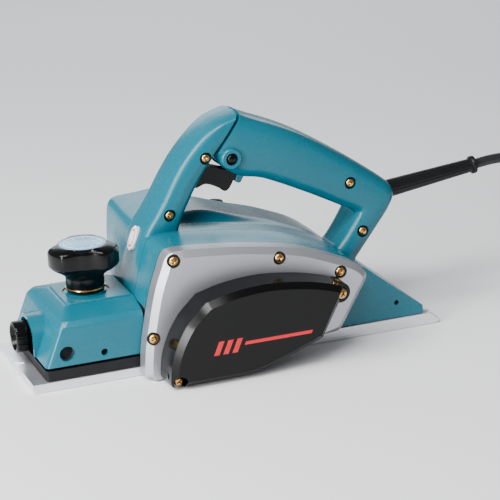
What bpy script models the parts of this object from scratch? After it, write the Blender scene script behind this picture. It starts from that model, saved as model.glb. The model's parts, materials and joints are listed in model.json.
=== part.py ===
"""Electric hand planer, modelled as the separate pieces it comes apart into.

Every size below is in millimetres; MM turns it into Blender's metres.
X runs from the toe of the sole (-) to its heel (+), Y points to the chip-outlet side,
Z is up, and the origin lies on the sole, half way along it.
"""
import math

import bmesh
import bpy
from mathutils import Matrix, Vector

MM = 0.001
GAP = 0.3                     # clearance kept between neighbouring pieces
TAU = 2 * math.pi

# Soles
TOE, HEEL = -142.5, 142.5
SOLE_HALF = 42.45
FRONT_SOLE_T = 5.8
REAR_SOLE_T = 8.2

# Cutter drum, and the motor that drives it by a belt
DRUM_X, DRUM_Z = -34.5, 20.8
CUT_R = 20.6
DRUM_R = 19.2
DRUM_HALF = 41.0
MOTOR_X, MOTOR_Z = 17.5, 42.0
STATOR_R = 26.5
ARMATURE_R = 17.0
DRUM_PULLEY_R = 12.6
MOTOR_PULLEY_R = 9.0
BELT_Y, BELT_WIDTH = -68.0, 9.0

# Side frame and belt cover, on the near (-Y) side
FRAME_IN, FRAME_OUT = -42.75, -57.5
FRAME_BEVEL = 4.0
FRAME_BOTTOM = 1.0
FRAME_HEEL = 11.2
COVER_FACE = -81.0
COVER_BEVEL = 4.0
COVER_WALL = 2.4

# Plastic housings
WALL = 2.5
NEAR_SEAM = -20.0             # joint between the near housing and the motor housing
FAR_SEAM = 42.35              # joint between the motor housing and its cover
FAR_END = 75.0
OVERHANG_Z = 14.0             # underside of the motor cover, which stands out past the sole
DRUM_CASE_Z = 46.0            # top of the drum housing
WEDGE_SLOPE = -0.8

# Front housing, depth knob and fence clamp
KNOB_X = -92.3
HOUSING_HALF = 41.5
HOUSING_Z = 14.8
ROD_X, ROD_Z, ROD_R = -118.6, 22.9, 5.0
FENCE_Z = 24.66

# Handle
HANDLE_WALL = 2.6
TRIGGER_PIVOT = (-17.0, 121.0)
BUTTON_X, BUTTON_Z = 6.3, 128.4
GUARD_START = (119.5, 85.5)
GUARD_END = (190.9, 94.1)

# Cord: 2.0 m of 7 mm lead, most of it in a coil of three by three turns on the floor behind the heel
CORD_R = 3.5
COIL_X, COIL_Y = 312.5, -2.3
COIL_MEAN_R = 34.5
COIL_HALF_W = 3 * CORD_R
COIL_HEIGHT = 6 * CORD_R + GAP
LEAD_POINTS = [
    (191.5, 0, 94.2), (205, -0.5, 95.9), (219, -2, 95.6), (233, -5, 90.2), (244, -9, 79),
    (252, -14, 63), (258.5, -20, 45), (266, -29, 28), (276, -38, 14), (287, -46.5, 6),
    (299.5, -50.4, 3.9), (312.5, -51.3, 3.6),
]

PARTS = None
CUTTERS = None
MATERIALS = {}


# ---------------------------------------------------------------- scene and materials

def clear_scene():
    for obj in list(bpy.data.objects):
        bpy.data.objects.remove(obj, do_unlink=True)


def new_collection(name):
    collection = bpy.data.collections.new(name)
    bpy.context.scene.collection.children.link(collection)
    return collection


def make_materials():
    looks = {
        "teal": ((0.0, 0.27, 0.39), 0.3, 0.0),
        "cast_silver": ((0.6, 0.61, 0.64), 0.42, 1.0),
        "machined": ((0.74, 0.75, 0.77), 0.3, 1.0),
        "black_gloss": ((0.012, 0.012, 0.013), 0.2, 0.0),
        "black_matte": ((0.02, 0.02, 0.021), 0.6, 0.0),
        "rubber": ((0.03, 0.03, 0.032), 0.75, 0.0),
        "label": ((0.42, 0.62, 0.74), 0.3, 0.0),
        "brass": ((0.72, 0.5, 0.22), 0.28, 1.0),
        "steel": ((0.55, 0.56, 0.58), 0.3, 1.0),
        "copper": ((0.72, 0.36, 0.2), 0.35, 1.0),
        "laminate": ((0.2, 0.2, 0.21), 0.5, 0.9),
    }
    for name, (colour, roughness, metallic) in looks.items():
        material = bpy.data.materials.new(name)
        material.use_nodes = True
        shader = material.node_tree.nodes["Principled BSDF"]
        shader.inputs["Base Color"].default_value = (*colour, 1.0)
        shader.inputs["Roughness"].default_value = roughness
        shader.inputs["Metallic"].default_value = metallic
        MATERIALS[name] = material


# ---------------------------------------------------------------- outlines

def smooth_line(points, steps=4):
    """Catmull-Rom curve through the points, as a list of points."""
    ends = [points[0]] + list(points) + [points[-1]]
    line = []
    for a, b, c, d in zip(ends, ends[1:], ends[2:], ends[3:]):
        for i in range(steps):
            t = i / steps
            line.append(tuple(
                0.5 * (2 * q + (r - p) * t + (2 * p - 5 * q + 4 * r - s) * t * t
                       + (3 * q - p - 3 * r + s) * t ** 3)
                for p, q, r, s in zip(a, b, c, d)))
    return line + [tuple(points[-1])]


def rounded(points, radius, steps=3):
    """The closed outline with each corner cut back by radius along its sides and rounded."""
    outline = []
    for i, corner in enumerate(points):
        here = Vector(corner)
        ends = []
        for other in (points[i - 1], points[(i + 1) % len(points)]):
            side = Vector(other) - here
            ends.append(here + side * min(radius / side.length, 0.45))
        for k in range(steps + 1):
            t = k / steps
            point = ends[0] * (1 - t) ** 2 + here * 2 * t * (1 - t) + ends[1] * t ** 2
            outline.append(tuple(point))
    return outline


def inset(points, distance):
    """The closed outline moved inwards by distance, corner by corner."""
    area = sum(a[0] * b[1] - b[0] * a[1] for a, b in zip(points, points[1:] + points[:1]))
    side = 1.0 if area > 0 else -1.0
    moved = []
    for i, point in enumerate(points):
        before = (Vector(point) - Vector(points[i - 1])).normalized()
        after = (Vector(points[(i + 1) % len(points)]) - Vector(point)).normalized()
        normals = [Vector((-v.y, v.x)) * side for v in (before, after)]
        middle = (normals[0] + normals[1]).normalized()
        moved.append(tuple(Vector(point) + middle * distance / max(0.35, middle.dot(normals[0]))))
    return moved


def between(points, value):
    """Height of a line of (x, z) points at x = value."""
    for (x0, z0), (x1, z1) in zip(points, points[1:]):
        if value <= x1:
            return z0 + (z1 - z0) * (value - x0) / (x1 - x0)
    return points[-1][1]


def ease(value, low, high):
    """0 below low, 1 above high, smooth between."""
    t = min(1.0, max(0.0, (value - low) / (high - low)))
    return t * t * (3 - 2 * t)


# ---------------------------------------------------------------- solids

def link(obj, name, material=None, hidden=False):
    """Name an object and put it with the parts, or with the cutters if it is hidden."""
    for collection in list(obj.users_collection):
        collection.objects.unlink(obj)
    obj.name = name
    obj.data.name = name
    if hidden:
        CUTTERS.objects.link(obj)
        obj.hide_render = True
        obj.display_type = "WIRE"
        return obj
    PARTS.objects.link(obj)
    obj.data.materials.clear()
    obj.data.materials.append(MATERIALS[material])
    obj.data.shade_smooth()
    obj.data.set_sharp_from_angle(angle=math.radians(35))
    return obj


def meshed(curve_object, name, material=None, hidden=False):
    """Turn a curve object into a mesh object with its caps welded on."""
    bpy.context.view_layer.update()
    depsgraph = bpy.context.evaluated_depsgraph_get()
    mesh = bpy.data.meshes.new_from_object(curve_object.evaluated_get(depsgraph))
    shape = bmesh.new()
    shape.from_mesh(mesh)
    bmesh.ops.remove_doubles(shape, verts=shape.verts, dist=1e-6)
    bmesh.ops.recalc_face_normals(shape, faces=shape.faces)
    shape.to_mesh(mesh)
    shape.free()
    obj = bpy.data.objects.new(name, mesh)
    bpy.context.scene.collection.objects.link(obj)
    obj.matrix_world = curve_object.matrix_world
    bpy.data.objects.remove(curve_object, do_unlink=True)
    return link(obj, name, material, hidden)


def plate(name, outlines, low, high, axis="Y", material=None, hidden=False):
    """Flat outlines, the first with the others as holes, extruded from low to high on an axis."""
    curve = bpy.data.curves.new(name, "CURVE")
    curve.dimensions = "2D"
    curve.fill_mode = "BOTH"
    curve.extrude = abs(high - low) / 2 * MM
    for outline in outlines:
        spline = curve.splines.new("POLY")
        spline.points.add(len(outline) - 1)
        for point, (a, b) in zip(spline.points, outline):
            point.co = (a * MM, b * MM, 0, 1)
        spline.use_cyclic_u = True
    obj = bpy.data.objects.new(name, curve)
    bpy.context.scene.collection.objects.link(obj)
    middle = (low + high) / 2 * MM
    turns = {"X": (math.pi / 2, 0, math.pi / 2), "Y": (math.pi / 2, 0, 0), "Z": (0, 0, 0)}
    obj.rotation_euler = turns[axis]
    obj.location = {"X": (middle, 0, 0), "Y": (0, middle, 0), "Z": (0, 0, middle)}[axis]
    return meshed(obj, name, material, hidden)


def facing(direction):
    """Rotation that turns local Z to a direction."""
    return Vector(direction).to_track_quat("Z", "Y").to_euler()


def cylinder(name, start, end, radius, material=None, hidden=False, segments=24, radius_end=None):
    start, end = Vector(start) * MM, Vector(end) * MM
    bpy.ops.mesh.primitive_cone_add(
        vertices=segments, radius1=radius * MM,
        radius2=(radius if radius_end is None else radius_end) * MM,
        depth=(end - start).length, location=(start + end) / 2, rotation=facing(end - start))
    return link(bpy.context.object, name, material, hidden)


def box(name, low, high, material=None, hidden=False):
    low, high = Vector(low) * MM, Vector(high) * MM
    bpy.ops.mesh.primitive_cube_add(size=1, location=(low + high) / 2)
    obj = bpy.context.object
    obj.data.transform(Matrix.Diagonal((*(high - low), 1)))
    return link(obj, name, material, hidden)


def turned(name, profile, origin, direction, material=None, hidden=False, steps=24, closed=False):
    """A profile of (radius, height) points, top to bottom on its outer side, turned about an axis."""
    mesh = bpy.data.meshes.new(name)
    vertices = [(r * MM, 0, h * MM) for r, h in profile]
    edges = [(i, i + 1) for i in range(len(profile) - 1)]
    if closed:
        edges.append((len(profile) - 1, 0))
    mesh.from_pydata(vertices, edges, [])
    obj = bpy.data.objects.new(name, mesh)
    bpy.context.scene.collection.objects.link(obj)
    obj.location = Vector(origin) * MM
    obj.rotation_euler = facing(direction)
    screw = obj.modifiers.new("turn", "SCREW")
    screw.steps = screw.render_steps = steps
    screw.use_merge_vertices = True
    screw.merge_threshold = 0.00001
    return link(obj, name, material, hidden)


def loft(name, rings, material=None, hidden=False):
    """A closed solid through rings of (x, y, z) points that all have the same number of points."""
    shape = bmesh.new()
    loops = [[shape.verts.new(Vector(p) * MM) for p in ring] for ring in rings]
    count = len(rings[0])
    for lower, upper in zip(loops, loops[1:]):
        for i in range(count):
            k = (i + 1) % count
            shape.faces.new((lower[i], lower[k], upper[k], upper[i]))
    shape.faces.new(loops[0])
    shape.faces.new(loops[-1])
    bmesh.ops.triangulate(shape, faces=shape.faces)
    bmesh.ops.recalc_face_normals(shape, faces=shape.faces)
    mesh = bpy.data.meshes.new(name)
    shape.to_mesh(mesh)
    shape.free()
    obj = bpy.data.objects.new(name, mesh)
    bpy.context.scene.collection.objects.link(obj)
    return link(obj, name, material, hidden)


def tube(name, points, radius, material, resolution=2):
    """A round wire or cord along a line of points."""
    curve = bpy.data.curves.new(name, "CURVE")
    curve.dimensions = "3D"
    curve.bevel_depth = radius * MM
    curve.bevel_resolution = resolution
    curve.use_fill_caps = True
    spline = curve.splines.new("POLY")
    spline.points.add(len(points) - 1)
    for point, place in zip(spline.points, points):
        point.co = (*(Vector(place) * MM), 1)
    obj = bpy.data.objects.new(name, curve)
    bpy.context.scene.collection.objects.link(obj)
    return meshed(obj, name, material)


def cut(obj, *cutters, solver="EXACT"):
    for cutter in cutters:
        modifier = obj.modifiers.new("cut " + cutter.name, "BOOLEAN")
        modifier.operation = "DIFFERENCE"
        modifier.solver = solver
        modifier.object = cutter


def join(obj, *others, solver="EXACT"):
    for other in others:
        modifier = obj.modifiers.new("join " + other.name, "BOOLEAN")
        modifier.operation = "UNION"
        modifier.solver = solver
        modifier.object = other


def hole(name, x, z, radius, low, high, segments=20):
    """A hidden cylinder along Y, for a bore in a side wall."""
    return cylinder(name, (x, low, z), (x, high, z), radius, hidden=True, segments=segments)


# ---------------------------------------------------------------- the body's shape

ROOF = smooth_line([(-54, 81.6), (-48, 83.3), (-38, 83.2), (-21, 81.9), (1, 79.4), (34, 73.2),
                    (56, 65.4), (73, 57.6), (84, 49)], 3)


def roof(x, y):
    """Height of the body's top: crowned over the near side, humped over the motor, lower at the far end."""
    if x > 84:
        return roof(84, NEAR_SEAM) + WEDGE_SLOPE * (x - 84)
    crown = 2.2 * ease(y, -46, -18)
    step = ease(y, -4, 8)
    hump = 5.0 * math.exp(-((x + 8) / 24) ** 2)
    fall = 7.0 * ease(x, -22, 8) * ease(y, 40, 68)
    return between(ROOF, x) + (crown + step * (1.3 + hump)) * (1 - ease(x, 60, 84))\
        + 2.2 * ease(x, 60, 84) - fall


def front_wall(y):
    """The body's front, from its foot behind the front housing to its top edge."""
    far = ease(y, 20, FAR_END)
    foot = -66.4 + 11.4 * far
    middle = -61.5 + 6.5 * far
    return [(foot, 46.3), (middle, 62.0), (-56.4 + 1.6 * far, 76.0), (-53.2, roof(-50, y) - 2.6)]


def body_line(y):
    """Front wall, roof and rear edge of the housings at one y, as open (x, z) points."""
    stations = [-48, -40, -30, -19, -8, 4, 17, 30, 43, 55, 66, 75, 83.4]
    top = [(x, roof(x, y)) for x in stations]
    return front_wall(y) + top + [(73.8, 28.0), (64.5, REAR_SOLE_T + 0.4)]


def arch_ring(y, wall=WALL):
    """The same line as a wall with a thickness, closed at its two feet."""
    outer = body_line(y)
    closed = inset(outer, wall)
    inner = closed[1:-1]
    first = (outer[0][0] + wall, outer[0][1])
    last = (outer[-1][0] - wall, outer[-1][1])
    line = outer + [last] + inner[::-1] + [first]
    return [(x, y, z) for x, z in line]


# ---------------------------------------------------------------- soles and drum

def make_rear_base():
    outline = [(-28.6, 0), (HEEL - 2.5, 0), (HEEL, 1.6), (HEEL - 1.2, 3.6), (HEEL - 7.0, REAR_SOLE_T),
               (-14.6, REAR_SOLE_T), (-22.6, 3.6)]
    base = plate("rear_base", [outline], -SOLE_HALF, SOLE_HALF, material="machined")
    ramp = [(131.2, REAR_SOLE_T - 1), (131.2, 13.6), (138.2, REAR_SOLE_T - 1)]
    join(base, plate("rear_ramp", [ramp], -38, 38, hidden=True))
    return base


def make_front_base():
    """Sliding sole, with a threaded boss for the depth screw and a V cut in its front edge."""
    rear = DRUM_X - math.sqrt(CUT_R ** 2 - (DRUM_Z - FRONT_SOLE_T) ** 2) - 2.5
    outline = [(TOE, 1.0), (TOE + 1.0, 0), (rear + 4.0, 0), (rear, FRONT_SOLE_T), (TOE, FRONT_SOLE_T)]
    base = plate("front_base", [outline], -SOLE_HALF, SOLE_HALF, material="machined")
    boss = cylinder("base_boss", (KNOB_X, 0, 3), (KNOB_X, 0, 19), 5.6, hidden=True)
    bore = cylinder("base_bore", (KNOB_X, 0, 4.2), (KNOB_X, 0, 21), 3.6, hidden=True, segments=16)
    notch = plate("base_notch", [[(TOE - 2, -5), (TOE + 5.5, 0), (TOE - 2, 5)]], -1, 8, "Z", hidden=True)
    groove = plate("sole_groove", [[(-3.5, -1), (3.5, -1), (0, 3.0)]], TOE - 1, rear + 6, "X", hidden=True)
    join(base, boss)
    cut(base, bore, notch, groove)
    return base


def make_front_skirt():
    """Black collar on the sliding sole; its upper lip runs inside the front housing."""
    def ring_of(x0, x1, half, radius):
        return rounded([(x0, -half), (x1, -half), (x1, half), (x0, half)], radius)
    low, mid, high = FRONT_SOLE_T + GAP, 13.0, 19.0
    skirt = plate("front_skirt", [ring_of(-133.2, -67.4, 41.3, 3)], low, mid, "Z", "black_matte")
    join(skirt, plate("skirt_lip", [ring_of(-129.0, -67.4, 38.6, 3)], mid - 1, high, "Z", hidden=True))
    cut(skirt, plate("skirt_inside", [ring_of(-127.0, -69.4, 36.6, 3)], 0, 30, "Z", hidden=True),
        box("skirt_lip_end", (-131, -41, mid), (-110.5, 41, 22), hidden=True))
    return skirt


def make_drum():
    """Cutter head with a journal at each end and two slots for the blades."""
    profile = [(0, 51.8), (4.5, 51.8), (4.5, 42.2), (9, 42.2), (9, DRUM_HALF), (DRUM_R, DRUM_HALF),
               (DRUM_R, -DRUM_HALF), (9, -DRUM_HALF), (9, -42.2), (4.5, -42.2), (4.5, -76), (0, -76)]
    drum = turned("cutter_drum", profile, (DRUM_X, 0, DRUM_Z), (0, 1, 0), "steel", steps=28)
    blades = []
    for number, side in enumerate((1, -1)):
        def at(a, b):
            """Along and across the blade's plane, for the blade on one side of the head."""
            return (DRUM_X + side * a, DRUM_Z + side * b)
        slot = plate(f"blade_slot_{number}", [[at(5, 6), at(5, 12.2), at(24, 12.2), at(24, 6)]],
                     -DRUM_HALF - 1, DRUM_HALF + 1, hidden=True)
        edge = math.sqrt(CUT_R ** 2 - 10.6 ** 2)
        blade = [at(6.5, 10.6), at(edge, 10.6), at(edge - 1.4, 9.6), at(17.0, 9.6), at(16.2, 6.3),
                 at(6.5, 6.3)]
        cut(drum, slot)
        blades.append(plate(f"blade_set_{number + 1}", [blade], -DRUM_HALF, DRUM_HALF, material="steel"))
    return [drum] + blades


def make_drum_housing():
    """Cast arch over the drum, open below, with the far bearing's plate on its end."""
    rear = -10.4
    outline = [(-64.2, 15.5), (-64.2, DRUM_CASE_Z), (rear, DRUM_CASE_Z), (rear, REAR_SOLE_T + 0.4),
               (-20.0, REAR_SOLE_T + 0.4), (-48.6, REAR_SOLE_T + 0.4)]
    case = plate("drum_housing", [outline], -42.4, 52.0, material="cast_silver")
    cavity = cylinder("drum_cavity", (DRUM_X, -44, DRUM_Z), (DRUM_X, 42.6, DRUM_Z), 22.8,
                      hidden=True, segments=40)
    mouth = box("drum_mouth", (-56, -44, 0), (-12.6, 42.6, 20), hidden=True)
    bore = hole("drum_far_bore", DRUM_X, DRUM_Z, 9.3, 44.6, 53)
    journal = hole("drum_far_journal", DRUM_X, DRUM_Z, 5.5, 40, 53)
    chip_slot = box("chip_slot", (-50, -37, 38), (-18, 37, 48), hidden=True)
    pocket = box("drum_front_pocket", (-66, -39, 24), (-60, 39, 42), hidden=True)
    cut(case, cavity, mouth, bore, journal, chip_slot, pocket, solver="MANIFOLD")
    return case


# ---------------------------------------------------------------- frame, belt and cover

def frame_outline():
    front = smooth_line([(-71.6, 2.5), (-69.7, 24), (-62.6, 56.4), (-56.2, 73.6), (-53.6, 80.6)], 3)
    top = smooth_line([(-49.5, 83.3), (-38, 83.4), (-21, 82.0), (1, 79.5), (34, 73.3), (56, 65.5),
                       (73, 58.0), (80.5, 53.0)], 2)
    rear = [(84.0, 48.6), (83.9, 44.6), (65.2, 14.0), (63.0, FRAME_HEEL)]
    return front + top + rear + [(44.0, FRAME_HEEL), (-12.0, FRAME_BOTTOM), (-69.0, FRAME_BOTTOM)]


def cover_outline():
    front = smooth_line([(-62.6, 4.2), (-60.8, 19.5), (-56.6, 30.4), (-50.1, 41.5), (-45.5, 46.8)], 2)
    top = smooth_line([(-36.3, 55.3), (-21, 59.0), (-3.8, 61.0), (13.4, 60.8), (34.5, 57.8),
                       (50, 53.8), (57.5, 51.0)], 2)
    return front + top + [(57.2, 46.0), (43.2, 18.6), (39.5, 16.6), (-8.5, 0.8), (-59.5, 0.8)]


FRAME_SCREWS = [(-49.2, 78.4), (22.2, 69.2), (64.5, 53.2), (-65.4, 28.9)]
COVER_SCREWS = [(-56.3, 5.0), (57.6, 44.6)]
COVER_LEDGE = -70.0


def edge_ring(outline, y):
    return [(x, y, z) for x, z in outline]


def make_side_frame():
    """Cast frame that carries both near bearings, bevelled all round its face but underneath."""
    outline = frame_outline()
    face = [(x, edge[1] if edge[1] in (FRAME_BOTTOM, FRAME_HEEL) else z)
            for (x, z), edge in zip(inset(outline, FRAME_BEVEL), outline)]
    frame = loft("side_frame", [edge_ring(outline, FRAME_IN), edge_ring(outline, FRAME_OUT + FRAME_BEVEL),
                                edge_ring(face, FRAME_OUT)], "cast_silver")
    room = [(-61, 9), (-52.5, 56), (-45, 74), (-21, 73), (1, 70.5), (34, 64), (56, 56), (71, 46.5),
            (54, 17), (44, 15), (4, 9)]
    pocket = plate("frame_pocket", [room], -53.5, -40, hidden=True)
    bosses = [hole(f"frame_boss_{i}", x, z, r, -54, -40, 16) for i, (x, z, r) in enumerate(
        [(DRUM_X, DRUM_Z, 16), (MOTOR_X, MOTOR_Z, 13)] + [(x, z, 7) for x, z in FRAME_SCREWS])]
    cut(pocket, *bosses, solver="MANIFOLD")
    cut(frame, pocket, solver="MANIFOLD")
    for name, x, z, radius, shaft in (("drum", DRUM_X, DRUM_Z, 11.3, 5.6),
                                      ("motor", MOTOR_X, MOTOR_Z, 9.3, 5.0)):
        cut(frame, hole(f"{name}_near_seat", x, z, radius, -52.6, -40),
            hole(f"{name}_near_shaft", x, z, shaft, -60, -40), solver="MANIFOLD")
    for i, (x, z) in enumerate(FRAME_SCREWS):
        cut(frame, hole(f"frame_screw_recess_{i}", x, z, 4.3, -60, FRAME_OUT + 2.2, 16),
            hole(f"frame_screw_bore_{i}", x, z, 2.1, -60, -44.5, 10), solver="MANIFOLD")
    for i, (x, z) in enumerate(COVER_SCREWS):
        cut(frame, hole(f"cover_screw_bore_{i}", x, z, 2.1, -60, -46, 10), solver="MANIFOLD")
    return frame


def make_belt_cover():
    """Hollow black cover with a bevelled face and a screw ledge at two corners."""
    outline = cover_outline()
    cover = loft("belt_cover", [edge_ring(outline, FRAME_OUT - GAP),
                                edge_ring(outline, COVER_FACE + COVER_BEVEL),
                                edge_ring(inset(outline, COVER_BEVEL), COVER_FACE)], "black_gloss")
    hollow = plate("cover_hollow", [inset(outline, COVER_WALL + 1)], COVER_FACE + COVER_WALL + 0.6,
                   FRAME_OUT + 3, hidden=True)
    cut(cover, hollow)
    for i, (x, z) in enumerate(COVER_SCREWS):
        centre = (x, z) if i else (x + 0.6, z + 2.6)
        post = hole(f"cover_post_{i}", *centre, 6.6, COVER_LEDGE - 2, FRAME_OUT - GAP)
        join(cover, post)
        cut(cover, hole(f"cover_pocket_{i}", *((x, z) if i else (x - 0.6, z - 0.6)), 6.0,
                        COVER_FACE - 2, COVER_LEDGE),
            hole(f"cover_bore_{i}", x, z, 2.1, -90, -50, 12))
    return cover


def make_screw(name, x, z, head_y, length, radius=3.2):
    """Screw along Y with its head towards -Y."""
    profile = [(0, 0.6), (radius, -0.2), (radius, -1.2), (1.6, -1.2), (1.6, -length), (0, -length)]
    return turned(name, profile, (x, head_y, z), (0, -1, 0), "brass", steps=12)


def make_belt():
    """Poly-V belt round both pulleys, as the outline of two circles' common tangents."""
    span = Vector((MOTOR_X - DRUM_X, MOTOR_Z - DRUM_Z))
    heading = math.atan2(span.y, span.x)
    lean = math.acos((DRUM_PULLEY_R - MOTOR_PULLEY_R) / span.length)

    def loop(extra):
        line = []
        for centre, radius, start, stop in (
                ((DRUM_X, DRUM_Z), DRUM_PULLEY_R + extra, heading + lean, heading + TAU - lean),
                ((MOTOR_X, MOTOR_Z), MOTOR_PULLEY_R + extra, heading - lean, heading + lean)):
            for i in range(13):
                angle = start + (stop - start) * i / 12
                line.append((centre[0] + radius * math.cos(angle), centre[1] + radius * math.sin(angle)))
        return line
    half = BELT_WIDTH / 2
    return plate("drive_belt", [loop(2.4), loop(0.45)], BELT_Y - half, BELT_Y + half, material="rubber")


def make_pulley(name, x, z, radius, bore):
    """Pulley with a flange at each side of the belt, on its shaft with a hair of clearance."""
    half = BELT_WIDTH / 2 + 0.6
    rim = radius + 1.6
    profile = [(rim, half + 1.2), (rim, half), (radius, half), (radius, -half), (rim, -half),
               (rim, -half - 1.2), (bore, -half - 1.2), (bore, half + 1.2)]
    return turned(name, profile, (x, BELT_Y, z), (0, 1, 0), "laminate", steps=20, closed=True)


# ---------------------------------------------------------------- housings

def make_housings():
    near = loft("near_housing", [arch_ring(y) for y in (-42.4, -32.0, NEAR_SEAM - GAP / 2)], "teal")
    rings = [arch_ring(y) for y in (NEAR_SEAM + GAP / 2, -4.0, 2.0, 8.0, 25.0, FAR_SEAM - GAP / 2)]
    motor = loft("motor_housing", rings, "teal")
    return near, motor


def make_motor_cover():
    """End cover that stands out past the sole, with vents, a chip outlet and a bearing seat."""
    def section(y, distance=0.0):
        line = body_line(y)[:-2]
        line = [(line[0][0] + 0.5, OVERHANG_Z + 6), (line[0][0], 30.0)] + line
        line += [(92, roof(92, y)), (100, roof(100, y)), (100, OVERHANG_Z + 4), (95, OVERHANG_Z),
                 (-48.5, OVERHANG_Z)]
        return edge_ring(inset(line, distance), y)
    start = FAR_SEAM + GAP / 2
    cover = loft("motor_cover", [section(start), section(FAR_END - 4), section(FAR_END, 4.0)], "teal")
    hollow = loft("motor_cover_hollow", [section(start - 6, WALL), section(FAR_END - 4.2, WALL),
                                         section(FAR_END - WALL, 4.0)], hidden=True)
    case_room = box("drum_case_room", (-66, 40, 8), (-9.4, 52.4, DRUM_CASE_Z + GAP), hidden=True)
    cut(cover, hollow, solver="MANIFOLD")
    join(cover, hole("motor_far_boss", MOTOR_X, MOTOR_Z, 13.0, 63.0, FAR_END - 1.5), solver="MANIFOLD")
    cut(cover, case_room, hole("motor_far_seat", MOTOR_X, MOTOR_Z, 9.3, 62, 71.6), solver="MANIFOLD")
    for i in range(6):
        angle = math.radians(35 + 22 * i)
        for side in (1, -1):
            x = MOTOR_X + 20.5 * math.cos(angle)
            z = MOTOR_Z + side * 20.5 * math.sin(angle)
            slit = box(f"vent_{i}_{side}", (x - 1.5, 70, z - 4.2), (x + 1.5, 78, z + 4.2), hidden=True)
            cut(cover, slit, solver="MANIFOLD")
    cut(cover, box("chip_window", (-47.0, 68, 50.0), (-15.0, 78, 74.0), hidden=True), solver="MANIFOLD")
    for name, z in (("top", 78.0), ("bottom", OVERHANG_Z)):
        cut(cover, cylinder(f"brush_hole_{name}", (MOTOR_X, 52, z - 6), (MOTOR_X, 52, z + 6), 6.6,
                            hidden=True), solver="MANIFOLD")
    return cover


def make_chip_duct():
    """Square duct from above the drum to the window in the motor cover."""
    duct = box("chip_duct", (-50.2, -38, 46.4), (-11.8, FAR_END - WALL - 0.4, 76.0), "black_matte")
    inside = box("duct_inside", (-48.4, -36, 48.2), (-13.6, FAR_END + 3, 74.2), hidden=True)
    floor_slot = box("duct_floor", (-48.4, -36, 44), (-18.4, 36, 50), hidden=True)
    cut(duct, inside, floor_slot)
    return duct


def make_rear_housing():
    """Wedge behind the motor, open below, with one small hole in each side."""
    def wedge(cut_back=0.0):
        slope = math.hypot(1, WEDGE_SLOPE)
        drop = cut_back * slope
        x_end = 130.4 - cut_back
        x_top = 88.4
        foot = REAR_SOLE_T + 0.3 - (10 if cut_back else 0)
        return [(65.6 + cut_back, foot), (x_end, foot), (x_end, roof(x_end, 0) - drop),
                (x_top, roof(x_top, 0) - drop), (85.0 + cut_back * 0.5, roof(87.4, 0) - drop)]
    body = plate("rear_housing", [wedge()], -41.5, 41.5, material="teal")
    hollow = plate("rear_housing_hollow", [wedge(WALL)], -39, 39, hidden=True)
    cut(body, hollow, hole("rear_side_hole", 111.1, 19.0, 1.7, -45, 45, 12), solver="MANIFOLD")
    return body


def make_front_housing():
    """Tapered box over the sliding sole, open below, with the knob's bush under its top."""
    def level(z, front, half, rear=-66.8, corner=3.0):
        line = [(rear, -half), (front + corner, -half), (front, -half + corner), (front, half - corner),
                (front + corner, half), (rear, half)]
        return [(x, y, z) for x, y in line]
    outer = [level(HOUSING_Z, -133.0, HOUSING_HALF), level(40.6, -122.4, HOUSING_HALF),
             level(43.6, -120.6, 38.8), level(48.6, -113.6, 22.0, corner=2.0)]
    shell = loft("front_housing", outer, "teal")
    inner = [level(HOUSING_Z - 3, -131.6, HOUSING_HALF - WALL, -60),
             level(39.6, -119.9, HOUSING_HALF - WALL, -60), level(45.9, -112.0, 21.0, -60, 2.0)]
    cut(shell, loft("front_housing_hollow", inner, hidden=True))
    join(shell, cylinder("knob_bush", (KNOB_X, 0, 30.6), (KNOB_X, 0, 47), 10.0, hidden=True))
    cut(shell, cylinder("knob_bore", (KNOB_X, 0, 25), (KNOB_X, 0, 52), 4.4, hidden=True),
        hole("rod_hole", ROD_X, ROD_Z, ROD_R, -45, 45),
        hole("fence_screw_hole", -94.0, 19.9, 2.3, -45, -30, 12),
        cylinder("fence_opening", (-140, 0, FENCE_Z), (-115, 0, FENCE_Z), 12.2, hidden=True))
    return shell


def make_fence_clamp():
    """Cross tube that takes a fence's guide rod, with a threaded hole for the clamp knob."""
    block = cylinder("fence_clamp", (ROD_X, -36.2, ROD_Z), (ROD_X, 36.2, ROD_Z), 6.6,
                     "cast_silver", segments=28)
    cut(block, hole("rod_bore", ROD_X, ROD_Z, ROD_R, -45, 45),
        cylinder("stud_bore", (-132, 0, FENCE_Z), (ROD_X, 0, FENCE_Z), 3.3, hidden=True, segments=16))
    return block


def make_fence_knob():
    """Black knob, open in front like a cup, on a stud that clamps the guide rod."""
    profile = [(0, -7.0), (7.4, -7.0), (8.2, 0.2), (10.4, -0.4), (10.4, -11.0), (7.6, -12.2),
               (7.6, -15.2), (3.0, -15.2), (3.0, -18.3), (0, -18.3)]
    return turned("fence_knob", profile, (TOE, 0, FENCE_Z), (-1, 0, 0), "black_gloss")


# ---------------------------------------------------------------- depth knob

KNOB_TOP = 81.4
KNOB_LOBES = 3
KNOB_PHASE = math.radians(76)


def knob_radius(angle, height):
    """Lobed head: full radius on the three lobes and scooped between them."""
    lobe = 0.5 + 0.5 * math.cos(KNOB_LOBES * (angle - KNOB_PHASE))
    scoop = 5.2 * (1 - lobe ** 0.45)
    return height - scoop


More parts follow.
